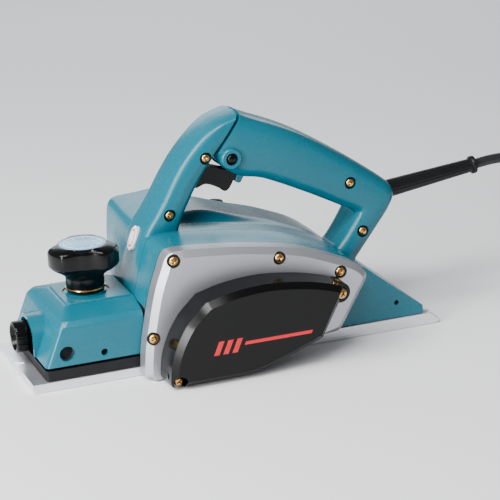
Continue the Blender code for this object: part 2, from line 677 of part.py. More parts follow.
def make_depth_knob():
    """Knob head with three broad lobes on a round neck, bored for the depth screw."""
    levels = [(49.0, 12.6, 0), (59.5, 12.6, 0), (65.5, 22.0, 1), (68.0, 23.4, 1), (77.5, 23.4, 1),
              (80.0, 21.6, 0.8), (KNOB_TOP, 17.6, 0)]
    rings = []
    for z, radius, lobed in levels:
        ring = []
        for i in range(36):
            angle = TAU * i / 36
            r = radius + lobed * (knob_radius(angle, radius) - radius)
            ring.append((KNOB_X + r * math.cos(angle), r * math.sin(angle), z))
        rings.append(ring)
    knob = loft("depth_knob", rings, "black_gloss")
    cut(knob, cylinder("knob_socket", (KNOB_X, 0, 40), (KNOB_X, 0, 62), 3.4, hidden=True, segments=16),
        cylinder("label_seat", (KNOB_X, 0, KNOB_TOP - 0.8), (KNOB_X, 0, 90), 15.7, hidden=True))
    label = cylinder("knob_label", (KNOB_X, 0, KNOB_TOP - 0.5), (KNOB_X, 0, KNOB_TOP + 0.1), 15.4, "label")
    stem = [(0, 61.6), (3.1, 61.6), (3.1, 46.9), (4.1, 46.9), (4.1, 29.0), (3.1, 29.0), (3.1, 8.2), (0, 8.2)]
    screw = turned("depth_screw", stem, (KNOB_X, 0, 0), (0, 0, 1), "steel", steps=16)
    return knob, label, screw


def make_depth_spring():
    turns, per_turn = 4, 10
    points = []
    for i in range(turns * per_turn + 1):
        angle = TAU * i / per_turn
        z = 7.2 + (29.4 - 7.2) * i / (turns * per_turn)
        points.append((KNOB_X + 7.4 * math.cos(angle), 7.4 * math.sin(angle), z))
    return tube("depth_spring", points, 0.7, "steel")


# ---------------------------------------------------------------- motor

def make_motor():
    stator = turned("stator", [(STATOR_R, 38), (STATOR_R, -8), (ARMATURE_R + 0.6, -8), (ARMATURE_R + 0.6, 38)],
                    (MOTOR_X, 0, MOTOR_Z), (0, 1, 0), "laminate", steps=28, closed=True)
    shaft = [(0, 70.5), (4, 70.5), (4, 59), (5, 59), (5, 36), (ARMATURE_R, 36), (ARMATURE_R, -6), (5, -6),
             (5, -42), (4, -42), (4, -76), (0, -76)]
    armature = turned("armature", shaft, (MOTOR_X, 0, MOTOR_Z), (0, 1, 0), "copper", steps=20)
    commutator = turned("commutator", [(12, 58), (12, 46), (5.05, 46), (5.05, 58)],
                        (MOTOR_X, 0, MOTOR_Z), (0, 1, 0), "copper", closed=True)
    fan = turned("cooling_fan", [(24, -15), (24, -16.2), (9, -18), (9, -34), (5.05, -34), (5.05, -15)],
                 (MOTOR_X, 0, MOTOR_Z), (0, 1, 0), "black_matte", closed=True)
    for i in range(8):
        angle = TAU * i / 8
        blade = box(f"fan_blade_{i}", (8, -30, -0.7), (23, -15.5, 0.7), hidden=True)
        blade.matrix_world = (Matrix.Translation(Vector((MOTOR_X, 0, MOTOR_Z)) * MM)
                              @ Matrix.Rotation(angle, 4, "Y") @ blade.matrix_world)
        join(fan, blade)
    return stator, armature, commutator, fan


def make_brushes():
    """A holder over and under the commutator, each with its screw cap in the cover."""
    made = []
    for name, side, far, outside in (("top", 1, 71.0, 79.2), ("bottom", -1, 19.0, OVERHANG_Z + 0.6)):
        near = MOTOR_Z + side * 13.2
        holder = cylinder(f"brush_holder_{name}", (MOTOR_X, 52, near), (MOTOR_X, 52, far), 5.0,
                          "brass", segments=16)
        cap = cylinder(f"brush_cap_{name}", (MOTOR_X, 52, far + side * GAP), (MOTOR_X, 52, outside), 6.2,
                       "black_matte")
        slot = box(f"brush_slot_{name}", (MOTOR_X - 4.5, 51.2, outside - 1.2), (MOTOR_X + 4.5, 52.8, outside + 1.2),
                   hidden=True)
        cut(cap, slot)
        made += [holder, cap]
    return made


def make_bearing(name, x, z, low, high, outer, inner):
    profile = [(outer, high), (outer, low), (inner, low), (inner, high)]
    return turned(name, profile, (x, 0, z), (0, 1, 0), "steel", steps=18, closed=True)


# ---------------------------------------------------------------- handle

# Outer and inner edge of the handle at stations along it, as (x, z) pairs, and its half width
COLUMN = [((-53.2, 85), (-31.0, 85), 18.0), ((-47.2, 94), (-28.0, 92.5), 18.0),
          ((-42.2, 103), (-23.9, 101), 17.8), ((-34.2, 117.2), (-17.5, 112), 17.6),
          ((-24.6, 130.6), (-11.2, 121), 17.5), ((-13.4, 142.5), (-7.4, 126.2), 17.5),
          ((-1.4, 151.8), (-5.6, 129.4), 17.4), ((13.9, 156.4), (-4.7, 131.6), 17.0)]
GRIP = [((15.9, 156.1), (-3.7, 130.6), 17.0), ((20.2, 153.6), (3.6, 120.6), 17.4),
        ((28.0, 150.4), (14.5, 113.8), 17.8), ((38.5, 146.1), (28.0, 110.8), 18.0),
        ((50.5, 140.6), (41.0, 105.4), 18.0), ((63.5, 133.6), (53.0, 99.6), 17.8),
        ((77.0, 125.2), (65.0, 93.6), 17.5), ((90.5, 116.3), (77.5, 87.0), 17.3),
        ((103.5, 107.1), (87.5, 81.6), 17.2), ((115.0, 98.6), (93.4, 78.6), 17.2),
        ((121.8, 92.4), (95.2, 76.9), 17.2), ((123.6, 85.6), (94.4, 74.4), 17.2),
        ((119.6, 77.0), (91.4, 69.6), 17.0), ((111.0, 65.5), (86.4, 62.2), 17.0),
        ((102.0, 53.8), (81.8, 56.4), 17.2), ((94.0, 43.6), (79.8, 54.8), 17.4)]


def handle_ring(station, side, wall, square):
    """Half of the handle's hollow section at one station: outer skin, then back along the inner."""
    (ox, oz), (nx, nz), half_width = station
    outer, inner = Vector((ox, oz)), Vector((nx, nz))
    middle, half = (outer + inner) / 2, (outer - inner) / 2
    ring = []
    for thickness, count, flip in ((0.0, 9, 1), (wall, 7, -1)):
        length = half.length - thickness
        width = half_width - thickness
        for i in range(count):
            angle = flip * math.pi * (0.5 - i / (count - 1))
            along = math.copysign(abs(math.sin(angle)) ** square, math.sin(angle)) * length
            across = abs(math.cos(angle)) ** square * width
            place = middle + half.normalized() * along
            ring.append((place.x, side * (GAP / 2 + across), place.y))
    return ring


def on_roof(ring):
    """Drop a foot's ring on the body, clear of the facets between its stations."""
    return [(x, y, roof(x, y) + 1.3) for x, y, z in ring]


def make_handle():
    made = []
    guard_axis = (Vector((GUARD_START[0], 0, GUARD_START[1])), Vector((GUARD_END[0], 0, GUARD_END[1])))
    for label, side in (("near", -1), ("far", 1)):
        column = [handle_ring(s, side, HANDLE_WALL, 0.62) for s in COLUMN]
        column[0] = on_roof(column[0])
        column = loft(f"column_{label}", column, "teal")
        grip = [handle_ring(s, side, HANDLE_WALL, 0.72) for s in GRIP]
        grip[-1] = on_roof(grip[-1])
        grip = loft(f"grip_{label}", grip, "teal")
        well = plate(f"trigger_well_{label}", [[(-23, 115), (-21, 127), (-6, 140), (22, 124), (16, 99), (-14, 104)]],
                     -7.2, 7.2, hidden=True)
        guard_hole = cylinder(f"guard_hole_{label}", guard_axis[0] - Vector((6, 0, 0.7)), guard_axis[1],
                              6.6, hidden=True)
        cut(column, well, solver="MANIFOLD")
        cut(grip, well, guard_hole, solver="MANIFOLD")
        made.append((column, grip))
    button_bore = hole("button_bore", BUTTON_X, BUTTON_Z, 3.9, -25, -5)
    cut(made[0][1], button_bore, solver="MANIFOLD")
    return made


HANDLE_SCREWS = [(-10.8, 130.7, "column"), (-37.4, 96.1, "column"),
                 (90.1, 99.6, "grip"), (98.5, 64.5, "grip")]


def make_handle_screws(halves):
    """Posts in both halves, and a screw from the near side through each pair of posts."""
    for i, (x, z, part) in enumerate(HANDLE_SCREWS):
        near, far = [half[0 if part == "column" else 1] for half in halves]
        join(near, hole(f"near_post_{i}", x, z, 4.6, -15.6, -GAP, 12), solver="MANIFOLD")
        cut(near, hole(f"near_recess_{i}", x, z, 4.0, -24, -15.4, 12),
            hole(f"near_bore_{i}", x, z, 1.9, -24, 5, 10), solver="MANIFOLD")
        join(far, hole(f"far_post_{i}", x, z, 4.6, GAP, 15.6, 12), solver="MANIFOLD")
        cut(far, hole(f"far_bore_{i}", x, z, 1.9, -5, 13, 10), solver="MANIFOLD")
        make_screw(f"handle_screw_{i + 1}", x, z, -16.8, 24, 3.0)


def make_trigger():
    """Curved finger trigger under the grip, on a pin at its front."""
    pivot_x, pivot_z = TRIGGER_PIVOT
    outline = [(-17.6, 117.4), (-13.6, 113.0), (-14.8, 108.4), (-8.0, 110.3), (0.0, 107.0),
               (4.8, 103.6), (8.4, 105.2), (12.2, 111.6), (13.2, 115.0), (4.0, 118.6), (-6.0, 121.8),
               (-13.5, 124.2), (-18.5, 124.4), (-20.4, 120.5)]
    trigger = plate("trigger", [outline], -6.3, 6.3, material="black_gloss")
    cut(trigger, hole("trigger_pin_bore", pivot_x, pivot_z, 1.75, -10, 10, 16))
    pin = cylinder("trigger_pin", (pivot_x, -10.5, pivot_z), (pivot_x, 10.5, pivot_z), 1.4, "steel",
                   segments=16)
    return trigger, pin


def make_switch():
    """Switch body in the grip, tipped to lie along it."""
    low, high = (20.0, -9.0, 125.0), (46.0, 9.0, 137.0)
    body = box("switch_body", low, high, "black_matte")
    middle = Vector((33.0, 0, 131.0)) * MM
    turn = Matrix.Translation(middle) @ Matrix.Rotation(math.radians(22), 4, "Y") @ Matrix.Translation(-middle)
    body.matrix_world = turn @ body.matrix_world
    return body


def make_lock_button():
    profile = [(0, 0), (2.6, 0), (3.4, -0.8), (3.4, -12.0), (0, -12.0)]
    return turned("lock_button", profile, (BUTTON_X, -20.6, BUTTON_Z), (0, -1, 0), "black_gloss", steps=20)


# ---------------------------------------------------------------- cord

def make_cord_guard():
    start, end = Vector((GUARD_START[0], 0, GUARD_START[1])), Vector((GUARD_END[0], 0, GUARD_END[1]))
    length = (end - start).length
    profile = [(3.6, 0), (6.2, 0), (6.2, -3.6), (4.7, -4.4), (6.2, 10 - length), (6.2, -length),
               (3.6, -length)]
    return turned("cord_guard", profile, end, end - start, "rubber", steps=20, closed=True)


def make_cord():
    lead = tube("cord_lead", smooth_line(LEAD_POINTS, 3), CORD_R, "rubber")
    inner, outer = COIL_MEAN_R - COIL_HALF_W, COIL_MEAN_R + COIL_HALF_W
    profile = [(outer, COIL_HEIGHT), (outer, GAP), (inner, GAP), (inner, COIL_HEIGHT)]
    coil = turned("cord_coil", profile, (COIL_X, COIL_Y, 0), (0, 0, 1), "rubber", steps=36, closed=True)
    return lead, coil


def make_plug():
    """Two-pin plug on the floor beside the coil, its cord end against the outer turn."""
    start = Vector((COIL_X - 2, COIL_Y + COIL_MEAN_R + COIL_HALF_W + 4.2, 12.4))
    heading = Vector((-0.985, 0.17, 0.0)).normalized()
    profile = [(0, 0), (3.8, 0), (5.6, -17), (9.0, -24), (8.4, -30), (12.0, -36), (12.0, -46), (0, -46)]
    body = turned("plug_body", profile, start, -heading, "black_matte", steps=20)
    across = Vector((-heading.y, heading.x, 0))
    pins = []
    for name, side in (("a", 1), ("b", -1)):
        foot = start + heading * 46.3 + across * side * 6.35
        pins.append(cylinder(f"plug_prong_{name}", foot, foot + heading * 17, 2.2, "brass", segments=12))
    return body, pins


# ---------------------------------------------------------------- assembly

def main():
    global PARTS, CUTTERS
    clear_scene()
    PARTS = new_collection("electric_hand_planer")
    CUTTERS = new_collection("cutters")
    make_materials()

    make_rear_base()
    make_front_base()
    make_front_skirt()
    make_drum()
    make_drum_housing()

    make_side_frame()
    make_belt_cover()
    for i, (x, z) in enumerate(FRAME_SCREWS):
        make_screw(f"frame_screw_{i + 1}", x, z, FRAME_OUT + 0.7, 11)
    for i, (x, z) in enumerate(COVER_SCREWS):
        make_screw(f"cover_screw_{i + 1}", x, z, COVER_LEDGE - 1.5, 20)
    make_belt()
    make_pulley("drum_pulley", DRUM_X, DRUM_Z, DRUM_PULLEY_R, 4.65)
    make_pulley("motor_pulley", MOTOR_X, MOTOR_Z, MOTOR_PULLEY_R, 4.15)

    make_housings()
    make_motor_cover()
    make_chip_duct()
    make_rear_housing()
    make_front_housing()
    make_fence_clamp()
    make_fence_knob()
    make_depth_knob()
    make_depth_spring()

    make_motor()
    make_brushes()
    make_bearing("drum_bearing_near", DRUM_X, DRUM_Z, -52.3, -45.3, 11.0, 4.8)
    make_bearing("drum_bearing_far", DRUM_X, DRUM_Z, 44.9, 51.7, 9.0, 4.8)
    make_bearing("motor_bearing_near", MOTOR_X, MOTOR_Z, -52.3, -45.3, 9.0, 4.3)
    make_bearing("motor_bearing_far", MOTOR_X, MOTOR_Z, 64.0, 71.3, 9.0, 4.3)

    halves = make_handle()
    make_handle_screws(halves)
    make_trigger()
    make_switch()
    make_lock_button()
    make_cord_guard()
    make_cord()
    make_plug()


main()
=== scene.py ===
"""Electric hand planer: fine surfaces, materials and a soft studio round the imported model.

Sizes are in millimetres in the model's own frame, and MM turns them into Blender's metres:
X from the toe (-) to the heel (+), Y towards the chip outlet, Z up from the soles.
"""
import json
import math

import bmesh
import bpy
from mathutils import Matrix, Vector


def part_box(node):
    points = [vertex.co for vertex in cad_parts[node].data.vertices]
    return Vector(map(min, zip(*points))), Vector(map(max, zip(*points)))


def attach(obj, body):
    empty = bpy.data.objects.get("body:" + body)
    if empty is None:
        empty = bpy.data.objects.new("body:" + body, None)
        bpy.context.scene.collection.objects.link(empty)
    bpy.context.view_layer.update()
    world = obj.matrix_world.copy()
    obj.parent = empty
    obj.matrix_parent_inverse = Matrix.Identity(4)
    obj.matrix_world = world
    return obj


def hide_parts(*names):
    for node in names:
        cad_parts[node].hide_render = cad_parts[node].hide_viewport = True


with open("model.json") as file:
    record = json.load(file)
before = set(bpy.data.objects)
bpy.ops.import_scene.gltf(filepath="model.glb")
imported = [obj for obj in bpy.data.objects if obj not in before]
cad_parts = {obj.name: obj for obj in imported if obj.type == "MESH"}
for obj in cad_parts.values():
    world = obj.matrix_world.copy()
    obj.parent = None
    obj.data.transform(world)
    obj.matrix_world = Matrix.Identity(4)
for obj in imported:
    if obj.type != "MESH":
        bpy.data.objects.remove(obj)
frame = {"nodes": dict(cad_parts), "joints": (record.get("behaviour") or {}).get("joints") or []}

MM = 0.001
TAU = 2 * math.pi
HOUSING = "housing"
JOINTS = {joint["name"]: joint for joint in frame["joints"]}


def corner(node, which):
    """Lowest (0) or highest (1) corner of a CAD node, in millimetres."""
    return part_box(node)[which] / MM


def middle(node):
    return (corner(node, 0) + corner(node, 1)) / 2


def joint_place(name):
    return Vector(JOINTS[name]["pos_m"]) / MM


# Places read from the frame
FRAME_IN, FRAME_OUT = corner("side_frame", 1).y, corner("side_frame", 0).y
FRAME_BOTTOM = corner("side_frame", 0).z
COVER_FACE = corner("belt_cover", 0).y
COVER_BACK = corner("belt_cover", 1).y
NEAR_SEAM = corner("near_housing", 1).y
FAR_SEAM = corner("motor_cover", 0).y
FAR_END = corner("motor_cover", 1).y
OVERHANG_Z = corner("motor_cover", 0).z
REAR_SOLE_T = corner("rear_housing", 0).z
DRUM = joint_place("cutter_spin")
MOTOR = joint_place("motor_spin")
KNOB = joint_place("depth_knob_turn")
FENCE = joint_place("fence_knob_turn")

# Driving sizes of the fine surfaces
WALL = 2.5
FRAME_BEVEL = 4.0
FRAME_HEEL = 11.2
COVER_BEVEL = 4.0
COVER_LEDGE = -70.0
WEDGE_SLOPE = -0.8
CORD_R = 3.5


# ---------------------------------------------------------------- outlines

def smooth_line(points, steps=4):
    """Catmull-Rom curve through the points, as a list of points."""
    ends = [points[0]] + list(points) + [points[-1]]
    line = []
    for a, b, c, d in zip(ends, ends[1:], ends[2:], ends[3:]):
        for i in range(steps):
            t = i / steps
            line.append(tuple(
                0.5 * (2 * q + (r - p) * t + (2 * p - 5 * q + 4 * r - s) * t * t
                       + (3 * q - p - 3 * r + s) * t ** 3)
                for p, q, r, s in zip(a, b, c, d)))
    return line + [tuple(points[-1])]


def rounded(points, radius, steps=5):
    """The closed outline with each corner cut back by radius along its sides and rounded."""
    outline = []
    for i, tip in enumerate(points):
        here = Vector(tip)
        ends = []
        for other in (points[i - 1], points[(i + 1) % len(points)]):
            side = Vector(other) - here
            ends.append(here + side * min(radius / side.length, 0.48))
        for k in range(steps + 1):
            t = k / steps
            outline.append(tuple(ends[0] * (1 - t) ** 2 + here * 2 * t * (1 - t) + ends[1] * t ** 2))
    return outline


def inset(points, distance):
    """The closed outline moved inwards by distance, corner by corner."""
    area = sum(a[0] * b[1] - b[0] * a[1] for a, b in zip(points, points[1:] + points[:1]))
    side = 1.0 if area > 0 else -1.0
    moved = []
    for i, point in enumerate(points):
        before = (Vector(point) - Vector(points[i - 1])).normalized()
        after = (Vector(points[(i + 1) % len(points)]) - Vector(point)).normalized()
        normals = [Vector((-v.y, v.x)) * side for v in (before, after)]
        bisector = (normals[0] + normals[1]).normalized()
        moved.append(tuple(Vector(point) + bisector * distance / max(0.35, bisector.dot(normals[0]))))
    return moved


def between(points, value):
    """Height of a line of (x, z) points at x = value."""
    for (x0, z0), (x1, z1) in zip(points, points[1:]):
        if value <= x1:
            return z0 + (z1 - z0) * (value - x0) / (x1 - x0)
    return points[-1][1]


def ease(value, low, high):
    """0 below low, 1 above high, smooth between."""
    t = min(1.0, max(0.0, (value - low) / (high - low)))
    return t * t * (3 - 2 * t)


def steps_between(low, high, pitch):
    count = max(1, round((high - low) / pitch))
    return [low + (high - low) * i / count for i in range(count + 1)]


# ---------------------------------------------------------------- materials

LOOKS = {}


def new_look(name, colour, roughness, metallic=0.0, coat=0.0, grain=0.0, height=0.0, spread=0.0,
             stretch=(1, 1, 1), specular=0.5):
    """A Principled material whose fine noise moves its roughness by spread and its surface by height."""
    material = bpy.data.materials.new(name)
    material.use_nodes = True
    nodes, links = material.node_tree.nodes, material.node_tree.links
    shader = nodes["Principled BSDF"]
    shader.inputs["Base Color"].default_value = (*colour, 1.0)
    shader.inputs["Roughness"].default_value = roughness
    shader.inputs["Metallic"].default_value = metallic
    shader.inputs["Coat Weight"].default_value = coat
    shader.inputs["Coat Roughness"].default_value = 0.08
    shader.inputs["Specular IOR Level"].default_value = specular
    if grain:
        place = nodes.new("ShaderNodeTexCoord")
        mapping = nodes.new("ShaderNodeMapping")
        mapping.inputs["Scale"].default_value = stretch
        noise = nodes.new("ShaderNodeTexNoise")
        noise.inputs["Scale"].default_value = grain
        noise.inputs["Detail"].default_value = 4.0
        links.new(place.outputs["Object"], mapping.inputs["Vector"])
        links.new(mapping.outputs["Vector"], noise.inputs["Vector"])
        if spread:
            levels = nodes.new("ShaderNodeMapRange")
            levels.inputs["To Min"].default_value = max(0.02, roughness - spread)
            levels.inputs["To Max"].default_value = roughness + spread
            links.new(noise.outputs["Fac"], levels.inputs["Value"])
            links.new(levels.outputs["Result"], shader.inputs["Roughness"])
        if height:
            bump = nodes.new("ShaderNodeBump")
            bump.inputs["Strength"].default_value = 1.0
            bump.inputs["Distance"].default_value = height * MM
            links.new(noise.outputs["Fac"], bump.inputs["Height"])
            links.new(bump.outputs["Normal"], shader.inputs["Normal"])
    LOOKS[name] = material


def make_looks():
    new_look("teal", (0.0, 0.115, 0.165), 0.27, grain=90, spread=0.03, specular=0.4)
    new_look("cast_silver", (0.44, 0.45, 0.48), 0.4, metallic=0.8, grain=1100, height=0.012, spread=0.06)
    new_look("machined", (0.74, 0.75, 0.77), 0.3, metallic=0.85, grain=1500, height=0.012, spread=0.1,
             stretch=(0.02, 1, 1))
    new_look("black_gloss", (0.001, 0.001, 0.0012), 0.2, grain=60, spread=0.03, specular=0.24)
    new_look("black_satin", (0.003, 0.003, 0.0034), 0.34, grain=700, height=0.01, spread=0.06, specular=0.24)
    new_look("black_matte", (0.006, 0.006, 0.0065), 0.6, grain=1400, height=0.03, spread=0.08, specular=0.3)
    new_look("rubber", (0.004, 0.0042, 0.005), 0.42, grain=900, height=0.012, spread=0.08, specular=0.25)
    new_look("cord_sheath", (0.012, 0.0125, 0.014), 0.4, grain=600, height=0.01, spread=0.06, specular=0.4)
    new_look("brass", (0.66, 0.4, 0.14), 0.24, metallic=1.0, grain=500, spread=0.06)
    new_look("steel", (0.5, 0.51, 0.53), 0.28, metallic=1.0, grain=1200, height=0.008, spread=0.08,
             stretch=(1, 0.03, 1))
    new_look("copper", (0.72, 0.36, 0.2), 0.35, metallic=1.0, grain=700, spread=0.08)
    new_look("laminate", (0.2, 0.2, 0.21), 0.5, metallic=0.9, grain=2400, height=0.02,
             stretch=(0.05, 1, 0.05))
    new_look("label_blue", (0.2, 0.42, 0.62), 0.25, grain=300, spread=0.03)
    new_look("label_white", (0.8, 0.8, 0.79), 0.3, grain=300, spread=0.03)
    new_look("label_red", (0.6, 0.003, 0.01), 0.35, grain=300, spread=0.03)


# ---------------------------------------------------------------- solids

def shade(obj, angle=32):
    obj.data.shade_smooth()
    obj.data.set_sharp_from_angle(angle=math.radians(angle))


def dress(obj, look, body=HOUSING, stands_for=(), angle=32):
    """Material, shading and body of a finished piece, with the CAD nodes that it stands for hidden."""
    obj.data.materials.clear()
    obj.data.materials.append(LOOKS[look])
    if obj.type == "MESH":
        shade(obj, angle)
    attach(obj, body)
    if stands_for:
        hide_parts(*stands_for)
    return obj


def from_bmesh(shape, name):
    bmesh.ops.recalc_face_normals(shape, faces=shape.faces)
    mesh = bpy.data.meshes.new(name)
    shape.to_mesh(mesh)
    shape.free()
    obj = bpy.data.objects.new(name, mesh)
    bpy.context.scene.collection.objects.link(obj)
    return obj


def loft(name, rings):
    """A closed solid through rings of (x, y, z) points that all have the same number of points."""
    shape = bmesh.new()
    loops = [[shape.verts.new(Vector(p) * MM) for p in ring] for ring in rings]
    count = len(rings[0])
    for lower, upper in zip(loops, loops[1:]):
        for i in range(count):
            k = (i + 1) % count
            shape.faces.new((lower[i], lower[k], upper[k], upper[i]))
    shape.faces.new(loops[0])
    shape.faces.new(loops[-1])
    return from_bmesh(shape, name)


def at_y(outline, y):
    return [(x, y, z) for x, z in outline]


def prism(name, outline, low, high):
    """An outline of (x, z) points drawn out along Y."""
    return loft(name, [at_y(outline, low), at_y(outline, high)])


def turned(name, profile, origin, direction, segments=48):
    """An open profile of (radius, height) points, ends on the axis, turned about a direction."""
    turn = Vector(direction).to_track_quat("Z", "Y").to_matrix()
    shape = bmesh.new()
    rings = []
    for radius, height in profile:
        count = 1 if radius < 1e-6 else segments
        ring = []
        for i in range(count):
            angle = TAU * i / segments
            local = Vector((radius * math.cos(angle), radius * math.sin(angle), height))
            ring.append(shape.verts.new((Vector(origin) + turn @ local) * MM))
        rings.append(ring)
    for lower, upper in zip(rings, rings[1:]):
        for i in range(segments):
            a, b = lower[i % len(lower)], lower[(i + 1) % len(lower)]
            c, d = upper[(i + 1) % len(upper)], upper[i % len(upper)]
            corners = [v for k, v in enumerate((a, b, c, d)) if v not in (a, b, c, d)[:k]]
            if len(corners) > 2:
                shape.faces.new(corners)
    return from_bmesh(shape, name)


def ring_turned(name, profile, origin, direction, segments=48):
    """A closed profile that stays off the axis, turned into a ring."""
    turn = Vector(direction).to_track_quat("Z", "Y").to_matrix()
    shape = bmesh.new()
    loops = []
    for i in range(segments):
        angle = TAU * i / segments
        loops.append([shape.verts.new((Vector(origin) + turn @ Vector(
            (r * math.cos(angle), r * math.sin(angle), h))) * MM) for r, h in profile])
    count = len(profile)
    for i, loop in enumerate(loops):
        after = loops[(i + 1) % segments]
        for k in range(count):
            m = (k + 1) % count
            shape.faces.new((loop[k], loop[m], after[m], after[k]))
    return from_bmesh(shape, name)


def cylinder(name, start, end, radius, segments=40):
    axis = Vector(end) - Vector(start)
    return turned(name, [(0, 0), (radius, 0), (radius, axis.length), (0, axis.length)], start, axis, segments)


def hole(x, z, radius, low, high, segments=40):
    """A cutter along Y."""
    return cylinder("hole", (x, low, z), (x, high, z), radius, segments)


def block(name, low, high):
    outline = [(low[0], low[2]), (high[0], low[2]), (high[0], high[2]), (low[0], high[2])]
    return prism(name, outline, low[1], high[1])


def settle(obj):
    """Replace an object's mesh by the same mesh with its modifiers applied."""
    bpy.context.view_layer.update()
    depsgraph = bpy.context.evaluated_depsgraph_get()
    mesh = bpy.data.meshes.new_from_object(obj.evaluated_get(depsgraph))
    obj.modifiers.clear()
    obj.data = mesh
    return obj


def combine(obj, operation, others):
    """Boolean with closed solids, which are used up."""
    for other in others:
        modifier = obj.modifiers.new(operation.lower(), "BOOLEAN")
        modifier.operation = operation
        modifier.solver = "MANIFOLD"
        modifier.object = other
    settle(obj)
    for other in others:
        bpy.data.objects.remove(other, do_unlink=True)
    return obj


def carve(obj, *others):
    return combine(obj, "DIFFERENCE", others)


def fuse(obj, *others):
    return combine(obj, "UNION", others)


def soften(obj, width, segments=3, angle=30):
    """Round the edges sharper than angle, and keep the flats flat."""
    modifier = obj.modifiers.new("soften", "BEVEL")
    modifier.width = width * MM
    modifier.segments = segments
    modifier.limit_method = "ANGLE"
    modifier.angle_limit = math.radians(angle)
    modifier.harden_normals = True
    modifier.use_clamp_overlap = True
    return obj


# ---------------------------------------------------------------- camera

def make_camera():
    """Long lens, a little above the planer and in front of its near side."""
    azimuth, elevation, roll = (math.radians(a) for a in (20.17, 18.21, 2.59))
    right = Vector((math.cos(azimuth), -math.sin(azimuth), 0))
    ahead = Vector((math.sin(azimuth) * math.cos(elevation), math.cos(azimuth) * math.cos(elevation),
                    -math.sin(elevation)))
    up = right.cross(ahead)
    side = right * math.cos(roll) - up * math.sin(roll)
    top = right * math.sin(roll) + up * math.cos(roll)
    data = bpy.data.cameras.new("camera")
    data.lens, data.sensor_width = 148.44, 36.0
    camera = bpy.data.objects.new("camera", data)
    bpy.context.scene.collection.objects.link(camera)
    turn = Matrix((side, top, -ahead)).transposed().to_4x4()
    camera.matrix_world = Matrix.Translation((-0.42938, -1.23205, 0.48980)) @ turn
    bpy.context.scene.camera = camera


# ---------------------------------------------------------------- cord

LEAD_POINTS = [
    (191.5, 0, 94.2), (205, -0.5, 95.9), (219, -2, 95.6), (233, -5, 90.2), (244, -9, 79),
    (252, -14, 63), (258.5, -20, 45), (266, -29, 28), (276, -38, 14), (287, -46.5, 6),
    (299.5, -50.4, 3.9), (312.5, -51.3, 3.6),
]
COIL_CELLS = [(1, 0), (0, 0), (-1, 0), (-1, 1), (-1, 2), (0, 2), (0, 1), (1, 1), (1, 2)]
COIL_TURNS = 8.5


def coil_point(turn):
    """Place along the coil, whose turns go from one column and layer to the next."""
    low, high = corner("cord_coil", 0), corner("cord_coil", 1)
    centre_x, centre_y = (low.x + high.x) / 2, (low.y + high.y) / 2
    mean = (high.x - low.x) / 2 - 3 * CORD_R
    index = min(int(turn), len(COIL_CELLS) - 1)
    blend = ease(turn - index, 0.8, 1.0)
    here, after = COIL_CELLS[index], COIL_CELLS[min(index + 1, len(COIL_CELLS) - 1)]
    column, layer = (a + (b - a) * blend for a, b in zip(here, after))
    radius = mean + 2 * CORD_R * column
    height = CORD_R + 0.3 + 2 * CORD_R * layer
    arrive = 1 - ease(turn, 0.0, 0.2)
    radius += arrive * (centre_y - LEAD_POINTS[-1][1] - radius)
    height += arrive * (LEAD_POINTS[-1][2] - height)
    start = plug_start()
    radius += ease(turn, COIL_TURNS - 0.25, COIL_TURNS) * (start.y - centre_y - radius)
    height += ease(turn, COIL_TURNS - 0.22, COIL_TURNS) * (start.z - height)
    angle = TAU * (turn - 0.25)
    return (centre_x + radius * math.cos(angle), centre_y + radius * math.sin(angle), height)


def plug_start():
    """Where the cord enters the plug: the end of its neck nearest the coil."""
    high = corner("cord_coil", 1)
    return Vector((middle("cord_coil").x - 2.0, high.y + 4.2, middle("plug_body").z))


def make_cord():
    count = round(COIL_TURNS * 40)
    turns = [coil_point(COIL_TURNS * i / count) for i in range(1, count)]
    points = smooth_line(LEAD_POINTS, 4) + turns + [tuple(plug_start())]
    curve = bpy.data.curves.new("power_cord", "CURVE")
    curve.dimensions = "3D"
    curve.bevel_depth = CORD_R * MM
    curve.bevel_resolution = 5
    curve.use_fill_caps = True
    spline = curve.splines.new("POLY")
    spline.points.add(len(points) - 1)
    for point, place in zip(spline.points, points):
        point.co = (*(Vector(place) * MM), 1)
    spline.use_smooth = True
    cord = bpy.data.objects.new("power_cord", curve)
    bpy.context.scene.collection.objects.link(cord)
    dress(cord, "cord_sheath", stands_for=("cord_lead", "cord_coil"))
    return cord


def make_plug():
    """Two-pin plug with a ribbed strain relief and finger ribs."""
    heading = Vector((-0.985, 0.17, 0.0)).normalized()
    profile = [(0, 0.4), (3.9, 0.4)]
    for i in range(5):
        base = 2.0 + 3.2 * i
        profile += [(4.2 + 0.3 * i, base), (5.3 + 0.35 * i, base + 0.5), (5.3 + 0.35 * i, base + 1.7),
                    (4.3 + 0.3 * i, base + 2.2)]
    profile += [(6.0, 18.4), (8.4, 22.0), (9.3, 25.0), (8.6, 30.0), (9.6, 33.4), (11.4, 35.4), (11.9, 37.0),
                (11.9, 44.6), (11.4, 45.6), (10.4, 46.0), (0, 46.0)]
    plug = turned("mains_plug", profile, plug_start(), heading, 56)
    return dress(plug, "black_satin", stands_for=("plug_body",))


# ---------------------------------------------------------------- the body's shape

ROOF = smooth_line([(-54, 81.6), (-48, 83.3), (-38, 83.2), (-21, 81.9), (1, 79.4), (34, 73.2),
                    (56, 65.4), (73, 57.6), (84, 49)], 6)


def roof(x, y):
    """Height of the body's top: crowned over the near side, humped over the motor, lower at the far end."""
    if x > 84:
        return roof(84, NEAR_SEAM) + WEDGE_SLOPE * (x - 84)
    crown = 2.2 * ease(y, -46, -18)
    step = ease(y, -4, 8)
    hump = 5.0 * math.exp(-((x + 8) / 24) ** 2)
    fade = ease(x, 60, 84)
    fall = 7.0 * ease(x, -22, 8) * ease(y, 40, 68)
    return between(ROOF, x) + (crown + step * (1.3 + hump)) * (1 - fade) + 2.2 * fade - fall


